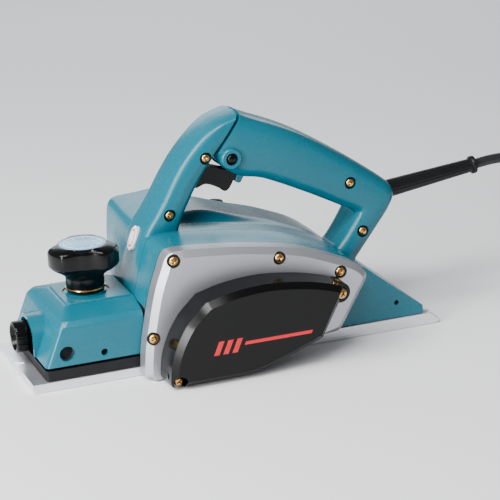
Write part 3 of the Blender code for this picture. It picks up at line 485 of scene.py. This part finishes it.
def nose(x, y, z):
    """How far the front wall stands out under the handle's column."""
    across = ease(y, -27, -12) * (1 - ease(y, 6, 15))
    return 2.7 * across * ease(z, 54, 74) * (1 - ease(x, -56, -47))


def front_line(y):
    """The body's front, from its foot behind the front housing to the roof, rounded at the top."""
    far = ease(y, 20, FAR_END)
    top = roof(-48, y)
    line = smooth_line([(-66.4 + 11.4 * far, 46.3), (-61.5 + 6.5 * far, 62.0), (-57.6 + 3.2 * far, 72.0),
                        (-56.0 + 2.4 * far, top - 7.5), (-54.2 + 2.0 * far, top - 3.2),
                        (-51.0 + 1.4 * far, top - 0.9), (-46.0, roof(-46, y))], 5)
    return [(x - nose(x, y, z), z) for x, z in line]


def body_line(y):
    """Front wall, roof and rear edge of the housings at one y, as open (x, z) points."""
    top = [(x, roof(x, y)) for x in steps_between(-40, 83.4, 4.5)]
    return front_line(y) + top + [(73.8, 28.0), (64.5, REAR_SOLE_T)]


def arch_ring(y):
    """The same line as a wall with a thickness, closed at its two feet."""
    outer = body_line(y)
    inner = inset(outer, WALL)[1:-1]
    first = (outer[0][0] + WALL, outer[0][1])
    last = (outer[-1][0] - WALL, outer[-1][1])
    return at_y(outer + [last] + inner[::-1] + [first], y)


def make_housings():
    """The two arched shells on either side of the seam."""
    near = loft("near_housing_shell", [arch_ring(y) for y in steps_between(-42.4, NEAR_SEAM - 0.2, 2.2)])
    dress(near, "teal", stands_for=("near_housing",))
    stations = steps_between(NEAR_SEAM + 0.15, FAR_SEAM - 0.2, 1.8)
    motor = loft("motor_housing_shell", [arch_ring(y) for y in stations])
    dress(motor, "teal", stands_for=("motor_housing",))


def cover_section(y, distance=0.0):
    """The motor cover's closed outline at one y."""
    line = body_line(y)[:-2]
    foot = line[0][0]
    low = rounded([(100, roof(100, y)), (100, OVERHANG_Z), (foot + 0.5, OVERHANG_Z), (foot, 40.0)], 5.0)
    line = line + [(92, roof(92, y))] + low[3:-3]
    return at_y(inset(line, distance), y)


def make_motor_cover():
    """End cover with its outlet window, vents, brush holes and a rounded rim."""
    radius = 4.0
    rings = [cover_section(y) for y in steps_between(FAR_SEAM, FAR_END - radius, 3.0)]
    for i in range(1, 6):
        angle = math.pi / 2 * i / 5
        rings.append(cover_section(FAR_END - radius + radius * math.sin(angle),
                                   radius * (1 - math.cos(angle))))
    cover = loft("motor_cover_shell", rings)
    hollow = loft("hollow", [cover_section(y, WALL) for y in (FAR_SEAM - 4, 52, FAR_END - 4.2)]
                  + [cover_section(FAR_END - WALL, 4.5)])
    case_room = block("case_room", (-66, 38, 8), (-9.4, 52.4, 46.3))
    carve(cover, hollow)
    fuse(cover, hole(MOTOR.x, MOTOR.z, 13.0, 63.0, FAR_END - 1.5))
    cutters = [case_room, hole(MOTOR.x, MOTOR.z, 9.3, 60, 71.6),
               block("window", (-47.0, 66, 50.0), (-15.0, 80, 74.0))]
    for i in range(6):
        angle = math.radians(35 + 22 * i)
        for side in (1, -1):
            x = MOTOR.x + 20.5 * math.cos(angle)
            z = MOTOR.z + side * 20.5 * math.sin(angle)
            slit = rounded([(x - 1.5, z - 4.4), (x + 1.5, z - 4.4), (x + 1.5, z + 4.4),
                            (x - 1.5, z + 4.4)], 1.4)
            cutters.append(prism("slit", slit, 68, 80))
    for z in (78.0, OVERHANG_Z):
        cutters.append(cylinder("brush_hole", (MOTOR.x, 52, z - 6), (MOTOR.x, 52, z + 6), 6.6))
    carve(cover, *cutters)
    soften(cover, 0.35, 2, 40)
    dress(cover, "teal", stands_for=("motor_cover",))


def make_rear_housing():
    """Wedge behind the motor, with a small hole in its side and a slim line along its roof."""
    def wedge(cut_back=0.0):
        drop = cut_back * math.hypot(1, WEDGE_SLOPE)
        x_end = corner("rear_housing", 1).x - cut_back
        foot = REAR_SOLE_T - (10 if cut_back else 0)
        return [(65.6 + cut_back, foot), (x_end, foot), (x_end, roof(x_end, 0) - drop),
                (88.4, roof(88.4, 0) - drop), (85.0 + cut_back * 0.5, roof(87.4, 0) - drop)]
    body = prism("rear_housing_shell", wedge(), -41.5, 41.5)
    carve(body, prism("hollow", wedge(WALL), -39, 39), hole(111.1, 19.0, 1.7, -45, 45))
    soften(body, 1.6, 4, 40)
    dress(body, "teal", stands_for=("rear_housing",))


# ---------------------------------------------------------------- side frame and belt cover

def make_side_frame():
    """Cast frame with a broad bevel round its face and a sunk seat for each screw."""
    front = smooth_line([(-71.6, 3.2), (-69.7, 24), (-62.6, 56.4), (-56.6, 73.4), (-54.0, 79.8),
                         (-50.4, 82.9), (-44.5, 83.6), (-38, 83.4), (-21, 82.0), (1, 79.5),
                         (34, 73.3), (56, 65.5), (73, 58.0), (80.5, 53.0)], 6)
    rear = rounded([(80.5, 53.0), (84.6, 48.0), (83.6, 43.6), (66.4, 15.0), (63.6, FRAME_HEEL),
                    (44, FRAME_HEEL)], 2.2, 3)[4:-4]
    outline = front + rear + [(44.0, FRAME_HEEL), (-12.0, FRAME_BOTTOM), (-67.0, FRAME_BOTTOM)]
    face = [(x, edge[1] if edge[1] in (FRAME_BOTTOM, FRAME_HEEL) else z)
            for (x, z), edge in zip(inset(outline, FRAME_BEVEL), outline)]
    plate = loft("side_frame_plate", [at_y(outline, FRAME_IN), at_y(outline, FRAME_OUT + FRAME_BEVEL),
                                      at_y(face, FRAME_OUT)])
    cutters = []
    for i in range(4):
        place = middle(f"frame_screw_{i + 1}")
        cutters.append(hole(place.x, place.z, 4.4, -62, FRAME_OUT + 2.6))
        cutters.append(hole(place.x, place.z, 1.9, -60, -40, 20))
    for place, radius in ((DRUM, 11.3), (MOTOR, 9.3)):
        cutters.append(hole(place.x, place.z, radius, -52.6, -40))
        cutters.append(hole(place.x, place.z, 5.8, -62, -40))
    for i in range(2):
        place = middle(f"cover_screw_{i + 1}")
        cutters.append(hole(place.x, place.z, 2.0, -60, -46, 20))
    carve(plate, *cutters)
    soften(plate, 0.45, 2, 28)
    dress(plate, "cast_silver", stands_for=("side_frame",))


def make_belt_cover():
    """Black cover: a straight wall, a broad bevel round the face, and a screw pocket at two corners."""
    front = smooth_line([(-62.6, 4.6), (-61.2, 17.5), (-56.6, 30.4), (-50.1, 41.5), (-45.8, 46.4)], 5)
    top = smooth_line([(-36.6, 55.0), (-21, 59.0), (-3.8, 61.0), (13.4, 60.8), (34.5, 57.8), (50, 53.8),
                       (56.2, 51.4)], 5)
    low = smooth_line([(43.2, 18.6), (39.5, 16.4), (14.0, 7.2), (-2.0, 2.4), (-14.0, 0.9)], 4)
    outline = front + top + [(58.4, 48.6), (57.6, 45.0)] + low + [(-59.6, 0.9), (-61.8, 2.2)]
    cover = loft("belt_cover_shell", [at_y(outline, COVER_BACK),
                                      at_y(inset(outline, 0.5), COVER_FACE + COVER_BEVEL),
                                      at_y(inset(outline, COVER_BEVEL + 0.3), COVER_FACE)])
    cutters = [prism("hollow", inset(outline, 3.4), COVER_FACE + 3.0, COVER_BACK + 4)]
    pockets, posts = [], []
    for i in range(2):
        place = middle(f"cover_screw_{i + 1}")
        shift = (0.6, 2.6) if i == 0 else (0.0, 0.0)
        posts.append(hole(place.x + shift[0], place.z + shift[1], 6.8, COVER_LEDGE - 2.2, COVER_BACK))
        pockets.append(hole(place.x, place.z, 4.4, COVER_FACE - 4, COVER_LEDGE))
        pockets.append(hole(place.x, place.z, 2.0, -92, -50, 20))
    carve(cover, *cutters)
    fuse(cover, *posts)
    carve(cover, *pockets)
    soften(cover, 0.4, 3, 24)
    dress(cover, "black_gloss", stands_for=("belt_cover",))
    make_stripes()


def make_stripes():
    """Three plain slanted bars and a thin line on the cover's face, as decoration."""
    base_x, base_z, lean, tall = -34.0, 20.0, 4.0, 9.0
    for i in range(3):
        left = base_x + 6.2 * i
        outline = [(left, base_z), (left + 3.6, base_z), (left + 3.6 + lean, base_z + tall),
                   (left + lean, base_z + tall)]
        bar = prism(f"cover_bar_{i + 1}", outline, COVER_FACE - 0.12, COVER_FACE + 0.2)
        dress(bar, "label_red")
    line = prism("cover_line", [(-13.0, 24.0), (33.0, 24.0), (34.0, 26.2), (-12.0, 26.2)],
                 COVER_FACE - 0.12, COVER_FACE + 0.2)
    dress(line, "label_red")


# ---------------------------------------------------------------- screws

def make_screw(name, head_y, radius, body=HOUSING):
    """Pan-head cross-recess screw along Y, in place of a CAD screw."""
    place, end = middle(name), corner(name, 1).y
    profile = [(0, 1.5), (radius * 0.35, 1.42), (radius * 0.68, 1.05), (radius * 0.9, 0.5), (radius, -0.15),
               (radius * 0.97, -0.7), (radius * 0.9, -1.0), (1.5, -1.0), (1.5, head_y - end),
                (0, head_y - end)]
    screw = turned(name + "_cross", profile, (place.x, head_y, place.z), (0, -1, 0), 32)
    tilt = math.radians(17 + 41 * len(name) + 23 * int(name[-1]))
    bits = []
    for turn in (0, math.pi / 2):
        long, thin = radius * 0.62, radius * 0.15
        rings = []
        for depth, share in ((2.2, 1.15), (0.2, 0.7), (-0.5, 0.15)):
            ring = []
            for u, v in ((-1, -1), (1, -1), (1, 1), (-1, 1)):
                a, b = u * long * share, v * thin
                ring.append((place.x + a * math.cos(tilt + turn) - b * math.sin(tilt + turn), head_y - depth,
                             place.z + a * math.sin(tilt + turn) + b * math.cos(tilt + turn)))
            rings.append(ring)
        bits.append(loft("bit", rings))
    carve(screw, *bits)
    dress(screw, "brass", body, stands_for=(name,), angle=38)


def make_shade_ring(name, place, y, outer):
    """Black ring at the bottom of a screw's recess: painted shade of the gap round the head, not a real part.
    """
    shade_ring = ring_turned(name, [(2.2, 0), (outer, 0), (outer, 0.5), (2.2, 0.5)],
                         (place.x, y, place.z), (0, -1, 0), 40)
    dress(shade_ring, "black_matte")


def make_screws():
    """The screws of the frame, the handle and the belt cover, with a black ring of painted shade in the
    recess under each frame and handle screw.
    """
    for i in range(4):
        # Each frame and handle screw gets a black ring of painted shade at the bottom of its recess.
        make_screw(f"frame_screw_{i + 1}", FRAME_OUT + 0.9, 3.2)
        make_shade_ring(f"frame_shade_ring_{i + 1}", middle(f"frame_screw_{i + 1}"), FRAME_OUT + 2.3, 4.3)
        make_screw(f"handle_screw_{i + 1}", -16.9, 3.0)
        make_shade_ring(f"handle_shade_ring_{i + 1}", middle(f"handle_screw_{i + 1}"), -15.4, 4.1)
    for i in range(2):
        make_screw(f"cover_screw_{i + 1}", COVER_LEDGE - 4.5, 3.5)


# ---------------------------------------------------------------- handle

# Outer and inner edge of the handle at stations along it, as (x, z, x, z, half width)
COLUMN = [(-59.2, 76.5, -31.0, 83.0, 17.2), (-57.4, 81.0, -30.2, 87.0, 17.5),
          (-53.6, 87.6, -28.4, 92.0, 17.9),
          (-48.4, 94.6, -26.0, 97.2, 18.0), (-42.6, 103.4, -23.0, 102.6, 17.9),
          (-34.4, 117.2, -17.5, 112.0, 17.7), (-24.8, 130.8, -11.2, 121.0, 17.6),
          (-13.6, 142.7, -7.4, 126.2, 17.5), (-1.4, 151.9, -5.6, 129.4, 17.4),
          (13.3, 156.6, -5.1, 131.9, 17.1),
          (13.9, 156.0, -4.4, 131.9, 16.2)]
GRIP = [(15.6, 155.3, -3.6, 130.9, 16.2), (16.2, 156.0, -3.5, 130.0, 17.2), (20.2, 153.8, 3.6, 120.6, 17.5),
        (28.0, 150.4, 14.5, 113.8, 17.8), (38.5, 146.1, 28.0, 110.8, 18.0),
        (50.5, 140.6, 41.0, 105.4, 18.0), (63.5, 133.6, 53.0, 99.6, 17.8),
        (77.0, 125.2, 65.0, 93.6, 17.5), (90.5, 116.3, 77.5, 87.0, 17.3),
        (103.5, 107.1, 87.5, 81.6, 17.2), (115.0, 98.6, 93.4, 78.6, 17.2),
        (121.8, 92.4, 95.2, 76.9, 17.2), (123.6, 85.6, 94.4, 74.4, 17.2),
        (119.6, 77.0, 91.4, 69.6, 17.0), (111.0, 65.5, 86.4, 62.2, 17.0),
        (102.0, 53.8, 81.8, 56.4, 17.2), (94.0, 43.6, 79.8, 54.8, 17.4)]
PARTING = 0.12
GUARD_ROOT = (119.5, 0, 85.5)


def half_section(station, side, outer_round, inner_round, crown):
    """Half of the handle's rounded section at one station, from its outer edge to its inner one."""
    ox, oz, nx, nz, half_width = station
    outer, inner = Vector((ox, oz)), Vector((nx, nz))
    centre, reach = (outer + inner) / 2, (outer - inner).length / 2
    along = (outer - inner).normalized()
    points = []
    for i in range(5):
        across = (half_width - outer_round) * i / 5
        points.append((reach + crown * (1 - (across / half_width) ** 2) - crown * 0.5, across))
    for radius, sign in ((outer_round, 1), (inner_round, -1)):
        for i in range(8):
            angle = math.pi / 2 * (i / 7 if sign > 0 else 1 - i / 7)
            points.append((sign * (reach - radius + radius * math.cos(angle)),
                           half_width - radius + radius * math.sin(angle)))
        if sign > 0:
            for i in range(1, 6):
                points.append(((reach - outer_round) * (1 - i / 6) - (reach - inner_round) * i / 6,
                               half_width + 0.5 * math.sin(math.pi * i / 6)))
    for i in range(4, -1, -1):
        points.append((-reach, (half_width - inner_round) * i / 5))
    ring = []
    for a, across in points:
        place = centre + along * a
        ring.append((place.x, side * (PARTING + max(0.0, across)), place.y))
    return ring


def on_body(ring, sink):
    """Drop a foot's ring a little way into the body."""
    return [(x, y, roof(max(x, -50), y) - sink) for x, y, _ in ring]


def make_handle():
    """Column and grip, each in two halves, with the trigger's well and the seats of the screws."""
    well = rounded([(-23, 115), (-21, 127), (-6, 140), (22, 124), (17, 99), (-14, 100)], 3)
    guard_high = corner("cord_guard", 1)
    guard_axis = (Vector((113.0, 0, 84.0)), Vector((guard_high.x, 0, guard_high.z - 6.2)))
    button = middle("lock_button")
    for label, side in (("near", -1), ("far", 1)):
        rings = [half_section(s, side, 6.0, 5.0, 1.6) for s in smooth_line(COLUMN[:-1], 5) + [COLUMN[-1]]]
        column = loft(f"column_{label}_shell", rings)
        carve(column, prism("well", well, -7.2, 7.2), *screw_seats("column", side))
        soften(column, 0.3, 2, 45)
        dress(column, "teal", stands_for=(f"column_{label}",))
        rings = [half_section(s, side, 7.5, 8.5, 1.2) for s in [GRIP[0]] + smooth_line(GRIP[1:], 5)]
        rings[-1] = on_body(rings[-1], 3.0)
        grip = loft(f"grip_{label}_shell", rings)
        cutters = [prism("well", well, -7.2, 7.2), cylinder("guard_hole", *guard_axis, 6.5)]
        if side < 0:
            fuse(grip, turned("button_boss", [(0, 0), (7.4, 0), (6.9, 3.4), (6.3, 4.0), (0, 4.0)],
                              (button.x, -16.4, button.z), (0, -1, 0)))
            cutters.append(hole(button.x, button.z, 4.1, -26, -6))
        carve(grip, *cutters, *screw_seats("grip", side))
        soften(grip, 0.3, 2, 45)
        dress(grip, "teal", stands_for=(f"grip_{label}",))


def screw_seats(part, side):
    """Cutters for the seats and bores of the handle's screws."""
    cutters = []
    for i in ((0, 1) if part == "column" else (2, 3)):
        place = middle(f"handle_screw_{i + 1}")
        if side < 0:
            cutters.append(hole(place.x, place.z, 4.2, -26, -15.2))
        cutters.append(hole(place.x, place.z, 1.8, -20, 9, 20))
    return cutters


def make_trigger():
    """The trigger and the small lip of the handle behind it."""
    outline = smooth_line([(-17.6, 117.4), (-13.6, 113.0), (-14.8, 108.4), (-8.0, 110.3), (0.0, 107.0),
                           (4.8, 103.6), (8.4, 105.2), (12.2, 111.6), (13.2, 115.0), (4.0, 118.6),
                           (-6.0, 121.8), (-13.5, 124.2), (-18.5, 124.4), (-20.4, 120.5),
                           (-17.6, 117.4)], 4)[:-1]
    trigger = prism("trigger_lever_piece", outline, -6.3, 6.3)
    pin = middle("trigger_pin")
    carve(trigger, hole(pin.x, pin.z, 1.75, -10, 10))
    soften(trigger, 1.1, 3, 50)
    dress(trigger, "black_satin", "trigger_lever", stands_for=("trigger",))
    lip_outline = rounded([(14.4, 114.5), (12.6, 108.6), (16.2, 107.4), (19.6, 113.0)], 1.5)
    lip = prism("trigger_guard_lip", lip_outline, -6.6, 6.6)
    soften(lip, 0.6, 3, 40)
    dress(lip, "teal")


def make_lock_button():
    low, high = corner("lock_button", 0), corner("lock_button", 1)
    place = middle("lock_button")
    tall = high.y - low.y
    profile = [(0, tall + 0.5), (1.4, tall + 0.4), (2.5, tall - 0.1), (3.3, tall - 1.0), (3.5, tall - 2.0),
               (3.5, 0), (0, 0)]
    button = turned("lock_button_cap", profile, (place.x, high.y, place.z), (0, -1, 0), 40)
    dress(button, "black_gloss", "lock_pin", stands_for=("lock_button",))


def make_cord_guard():
    """Rubber sleeve with long flutes and a collar at its outer end."""
    end = Vector(LEAD_POINTS[0])
    start = Vector(GUARD_ROOT)
    axis = (start - end).normalized()
    length = (start - end).length
    turn = axis.to_track_quat("Z", "Y").to_matrix()
    stations = [(0.6, 4.4, 0), (0.6, 5.6, 0), (0.9, 6.2, 0), (3.3, 6.2, 0), (3.8, 5.7, 0), (4.0, 4.9, 0),
                (5.0, 4.75, 0), (6.5, 4.8, 1)]
    stations += [(s, 4.8 + 1.3 * (s - 6.5) / (length - 16.5), 1) for s in steps_between(10, length - 10, 4)]
    stations += [(length, 6.2, 1), (length, 3.7, 0), (0.6, 3.7, 0)]
    rings = []
    for height, radius, fluted in stations:
        ring = []
        for i in range(96):
            angle = TAU * i / 96
            r = radius - 0.32 * fluted * (0.5 + 0.5 * math.cos(16 * angle)) ** 2
            ring.append(end + turn @ Vector((r * math.cos(angle), r * math.sin(angle), height)))
        rings.append(ring)
    shape = bmesh.new()
    loops = [[shape.verts.new(p * MM) for p in ring] for ring in rings]
    for lower, upper in zip(loops, loops[1:] + loops[:1]):
        for i in range(96):
            k = (i + 1) % 96
            shape.faces.new((lower[i], lower[k], upper[k], upper[i]))
    guard = from_bmesh(shape, "cord_guard_sleeve")
    return dress(guard, "rubber", stands_for=("cord_guard",), angle=50)


def make_badge():
    """Plain oval badge on the nose under the column."""
    centre = Vector((-58.9, -3.4, 80.2))
    up = Vector((6.5, 0, 17.0)).normalized()
    out = Vector((-up.z, -0.06, up.x)).normalized()
    side = up.cross(out).normalized()
    for name, look, scale, thick in (("badge_plate", "label_white", 1.0, 0.9),
                                     ("badge_rim", "label_red", 0.74, 1.05),
                                     ("badge_field", "label_white", 0.6, 1.2)):
        rings = []
        for height, share in ((-1.6, 1.0), (thick - 0.25, 1.0), (thick, 0.95)):
            rings.append([centre + out * height + side * (4.9 * scale * share * math.cos(TAU * i / 64))
                          + up * (8.4 * scale * share * math.sin(TAU * i / 64)) for i in range(64)])
        dress(loft(name, rings), look)


# ---------------------------------------------------------------- front housing, knobs and fence clamp

def rounded_level(z, front, half, rear, radius, steps=6):
    """A level of the front housing: square to the rear, round at its two front corners."""
    line = [(rear, -half)]
    for turn, centre_y in ((0, -half + radius), (1, half - radius)):
        for i in range(steps + 1):
            angle = math.pi / 2 * (i / steps + turn)
            line.append((front + radius - radius * math.sin(angle), centre_y - radius * math.cos(angle)))
    line.append((rear, half))
    return [(x, y, z) for x, y in line]


def make_front_housing():
    """Tapered box with a bevel round its top, a raised pad for the knob and an arch over the fence knob."""
    rear = corner("front_housing", 1).x
    base = corner("front_housing", 0)
    levels = [(base.z, base.x, 41.5, 3.5), (38.6, -123.2, 41.5, 3.5), (40.4, -122.2, 41.2, 4.0),
              (43.4, -120.2, 38.9, 5.0), (44.2, -119.0, 36.5, 5.5), (47.6, -113.4, 24.0, 4.0),
              (47.9, -112.6, 22.6, 3.5)]
    shell = loft("front_housing_shell", [rounded_level(z, x, half, rear, r) for z, x, half, r in levels])
    inner = [(base.z - 3, -131.6, 39.0, 2.5), (38.8, -120.4, 39.0, 2.5), (45.2, -112.0, 21.0, 2.5)]
    carve(shell, loft("hollow", [rounded_level(z, x, half, -60, r) for z, x, half, r in inner]))
    pad = loft("pad", [rounded_level(z, x, half, rear - 2, r) for z, x, half, r in (
        (44.0, -111.6, 21.4, 3.0), (48.3, -111.6, 21.4, 3.0), (48.9, -111.0, 20.8, 2.6))])
    arch = arch_shape(17.2, 38.6, base.z)
    fuse(shell, pad, prism_x("arch_rim", arch, -134.0, -119.5),
         cylinder("bush", (KNOB.x, 0, 30.6), (KNOB.x, 0, 46), 10.0))
    fence_inner = arch_shape(14.6, 36.2, base.z - 1)
    place = middle("fence_clamp")
    carve(shell, prism_x("arch_hollow", fence_inner, -150, -121.6),
          block("trim", (-140, -17.5, 10.0), (-127.6, 17.5, base.z)),
          cylinder("fence_opening", (-130, 0, FENCE.z), (-113, 0, FENCE.z), 9.4),
          cylinder("knob_bore", (KNOB.x, 0, 25), (KNOB.x, 0, 56), 4.4),
          ring_turned("knob_groove", [(13.6, 48.2), (13.6, 52), (15.4, 52), (15.4, 48.2)],
                      (KNOB.x, 0, 0), (0, 0, 1)),
          hole(place.x, place.z, 5.0, -45, 45), hole(-94.0, 19.9, 2.3, -45, 45))
    soften(shell, 0.8, 3, 24)
    dress(shell, "teal", stands_for=("front_housing",))


def arch_shape(half, top, foot):
    """A round-headed arch as (y, z) points."""
    line = [(-half, foot), (half, foot)]
    for i in range(25):
        angle = math.pi * i / 24
        line.append((half * math.cos(angle), top - half * 0.62 * (1 - math.sin(angle))))
    return line


def prism_x(name, outline, low, high):
    """An outline of (y, z) points drawn out along X."""
    return loft(name, [[(x, y, z) for y, z in outline] for x in (low, high)])


def make_fence_knob():
    """Ribbed black knob, hollow in front like a cup, with a neck behind."""
    profile = [(0.0, -7.0, 0), (6.6, -7.0, 0), (7.4, -6.2, 0), (8.3, 0.0, 0), (8.7, 0.5, 0), (9.6, 0.5, 0),
               (10.2, 0.0, 0), (10.4, -0.9, 1), (10.4, -10.0, 1), (9.9, -11.0, 0), (7.7, -12.2, 0),
               (7.6, -15.2, 0),
               (3.0, -15.3, 0), (3.0, -18.3, 0), (0.0, -18.3, 0)]
    turn = Vector((-1, 0, 0)).to_track_quat("Z", "Y").to_matrix()
    segments = 96
    shape = bmesh.new()
    rings = []
    for radius, height, ribbed in profile:
        ring = []
        for i in range(segments if radius else 1):
            angle = TAU * i / segments
            r = radius - 0.35 * ribbed * (0.5 + 0.5 * math.cos(32 * angle))
            ring.append(shape.verts.new((FENCE + turn @ Vector(
                (r * math.cos(angle), r * math.sin(angle), height))) * MM))
        rings.append(ring)
    for lower, upper in zip(rings, rings[1:]):
        for i in range(segments):
            around = (lower[i % len(lower)], lower[(i + 1) % len(lower)],
                      upper[(i + 1) % len(upper)], upper[i % len(upper)])
            corners = [v for k, v in enumerate(around) if v not in around[:k]]
            shape.faces.new(corners)
    knob = from_bmesh(shape, "fence_knob_cup")
    dress(knob, "black_gloss", "fence_screw", stands_for=("fence_knob",), angle=45)


KNOB_PHASE = math.radians(76)


def knob_radius(angle, radius, depth):
    """Lobed head: full radius on the three lobes and scooped between them."""
    lobe = 0.5 + 0.5 * math.cos(3 * (angle - KNOB_PHASE))
    return radius - 1.2 * depth * (1 - ease(lobe, 0.02, 0.78))


def make_depth_knob():
    """Three-lobed knob with rounded rims on a round neck, with a plain disc and scale ring on top."""
    top = corner("depth_knob", 1).z
    low = corner("depth_knob", 0).z
    stations = [(low + 1.0, 12.2, 0), (low + 1.6, 12.7, 0), (low + 9.5, 12.7, 0), (low + 11.5, 13.2, 0.3),
                (low + 14.5, 17.2, 2.6), (low + 16.6, 20.8, 4.2), (low + 17.8, 22.4, 5.0),
                (low + 19.0, 23.3, 5.4), (low + 20.2, 23.5, 5.5), (top - 4.2, 23.5, 5.5),
                (top - 3.0, 23.1, 5.3), (top - 2.0, 22.2, 5.0), (top - 0.9, 19.8, 3.6),
                (top - 0.3, 18.0, 2.2), (top, 16.4, 0.6), (top, 15.7, 0), (top - 0.8, 15.6, 0)]
    rings = []
    for z, radius, depth in stations:
        rings.append([(KNOB.x + knob_radius(TAU * i / 144, radius, depth) * math.cos(TAU * i / 144),
                       knob_radius(TAU * i / 144, radius, depth) * math.sin(TAU * i / 144), z)
                      for i in range(144)])
    knob = loft("depth_knob_head", rings)
    carve(knob, cylinder("socket", (KNOB.x, 0, 40), (KNOB.x, 0, 62), 3.4))
    dress(knob, "black_gloss", "depth_control", stands_for=("depth_knob",), angle=40)
    face = corner("knob_label", 1).z
    disc = turned("knob_disc", [(0, 0), (15.0, 0), (15.4, -0.15), (15.4, -0.7), (0, -0.7)],
                  (KNOB.x, 0, face), (0, 0, 1), 72)
    dress(disc, "label_blue", "depth_control", stands_for=("knob_label",))
    ring = ring_turned("knob_scale_ring", [(12.2, 0.1), (12.2, -0.2), (12.7, -0.2), (12.7, 0.1)],
                       (KNOB.x, 0, face), (0, 0, 1), 72)
    dress(ring, "label_white", "depth_control")
    for i in range(10):
        angle = TAU * i / 10
        radial = Vector((math.cos(angle), math.sin(angle), 0))
        across = Vector((-radial.y, radial.x, 0))
        inner, outer, wide = 9.4 if i % 5 else 7.0, 12.2, 0.3
        quad = [radial * inner - across * wide, radial * outer - across * wide,
                radial * outer + across * wide, radial * inner + across * wide]
        rings = [[(KNOB.x + p.x, p.y, face + h) for p in quad] for h in (-0.2, 0.1)]
        tick = loft(f"knob_tick_{i + 1}", rings)
        dress(tick, "label_white", "depth_control")
    band = ring_turned("knob_band", [(12.4, 0.5), (12.4, -0.5), (13.1, -0.5), (13.3, 0), (13.1, 0.5)],
                       (KNOB.x, 0, low + 3.0), (0, 0, 1), 72)
    dress(band, "brass", "depth_control")


def make_fence_clamp():
    low, high = corner("fence_clamp", 0), corner("fence_clamp", 1)
    place = middle("fence_clamp")
    tube = ring_turned("fence_clamp_tube", [(5.0, low.y), (6.6, low.y), (6.6, high.y), (5.0, high.y)],
                       (place.x, 0, place.z), (0, 1, 0), 48)
    carve(tube, cylinder("stud_bore", (place.x - 14, 0, FENCE.z), (place.x, 0, FENCE.z), 3.3))
    dress(tube, "cast_silver", stands_for=("fence_clamp",))


# ---------------------------------------------------------------- CAD pieces that stay

def dress_cad():
    """Materials and softened edges for the CAD nodes that are shown as they are."""
    looks = {
        "machined": ("rear_base", "front_base"),
        "cast_silver": ("drum_housing",),
        "rubber": ("front_skirt", "drive_belt"),
        "black_matte": ("chip_duct", "cooling_fan", "brush_cap_top", "brush_cap_bottom", "switch_body"),
        "steel": ("cutter_drum", "blade_set_1", "blade_set_2", "depth_screw", "depth_spring", "trigger_pin",
                  "drum_bearing_near", "drum_bearing_far", "motor_bearing_near", "motor_bearing_far"),
        "copper": ("commutator",),
        "laminate": ("stator", "armature", "drum_pulley", "motor_pulley"),
        "brass": ("brush_holder_top", "brush_holder_bottom", "plug_prong_a", "plug_prong_b"),
    }
    edges = {"rear_base": 0.5, "front_base": 0.5, "drum_housing": 0.6, "front_skirt": 0.4, "chip_duct": 0.4,
             "plug_prong_a": 0.8, "plug_prong_b": 0.8, "brush_cap_top": 0.4, "brush_cap_bottom": 0.4}
    for look, nodes in looks.items():
        for name in nodes:
            obj = frame["nodes"][name]
            obj.data.materials.clear()
            obj.data.materials.append(LOOKS[look])
            if name in edges:
                weld = obj.modifiers.new("weld", "WELD")
                weld.merge_threshold = 0.00001
                soften(obj, edges[name], 2, 30)


# ---------------------------------------------------------------- studio

def add_light(name, place, target, size, power, colour=(1, 1, 1)):
    data = bpy.data.lights.new(name, "AREA")
    data.shape = "RECTANGLE"
    data.size, data.size_y = size
    data.energy = power
    data.color = colour
    light = bpy.data.objects.new(name, data)
    bpy.context.scene.collection.objects.link(light)
    light.location = place
    light.rotation_euler = (Vector(target) - Vector(place)).to_track_quat("-Z", "Y").to_euler()


def make_studio():
    bpy.ops.mesh.primitive_plane_add(size=12, location=(0, 0, -0.0003))
    floor = bpy.context.object
    floor.name = "floor"
    material = bpy.data.materials.new("floor")
    material.use_nodes = True
    shader = material.node_tree.nodes["Principled BSDF"]
    shader.inputs["Base Color"].default_value = (0.86, 0.86, 0.87, 1)
    shader.inputs["Roughness"].default_value = 0.7
    floor.data.materials.append(material)
    world = bpy.data.worlds.new("studio")
    world.use_nodes = True
    world.node_tree.nodes["Background"].inputs["Color"].default_value = (0.95, 0.97, 1.0, 1)
    world.node_tree.nodes["Background"].inputs["Strength"].default_value = 0.3
    bpy.context.scene.world = world
    aim = (-0.02, 0, 0.06)
    add_light("key", (-0.95, -0.2, 0.95), aim, (0.7, 0.7), 24)
    add_light("bevel_card", (-0.36, -0.6, 1.15), aim, (0.5, 0.35), 12)
    add_light("left_box", (-1.3, -0.78, 0.4), aim, (0.3, 0.65), 22)
    add_light("back_panel", (0.45, 1.35, 0.6), aim, (1.4, 0.5), 6, (0.85, 0.94, 1.0))


def main():
    make_camera()
    make_looks()
    cord = make_cord()
    plug = make_plug()
    guard = make_cord_guard()
    make_housings()
    make_motor_cover()
    make_rear_housing()
    make_side_frame()
    make_belt_cover()
    make_screws()
    make_handle()
    make_trigger()
    make_lock_button()
    make_badge()
    make_front_housing()
    make_fence_knob()
    make_fence_clamp()
    make_depth_knob()
    dress_cad()
    make_studio()


main()
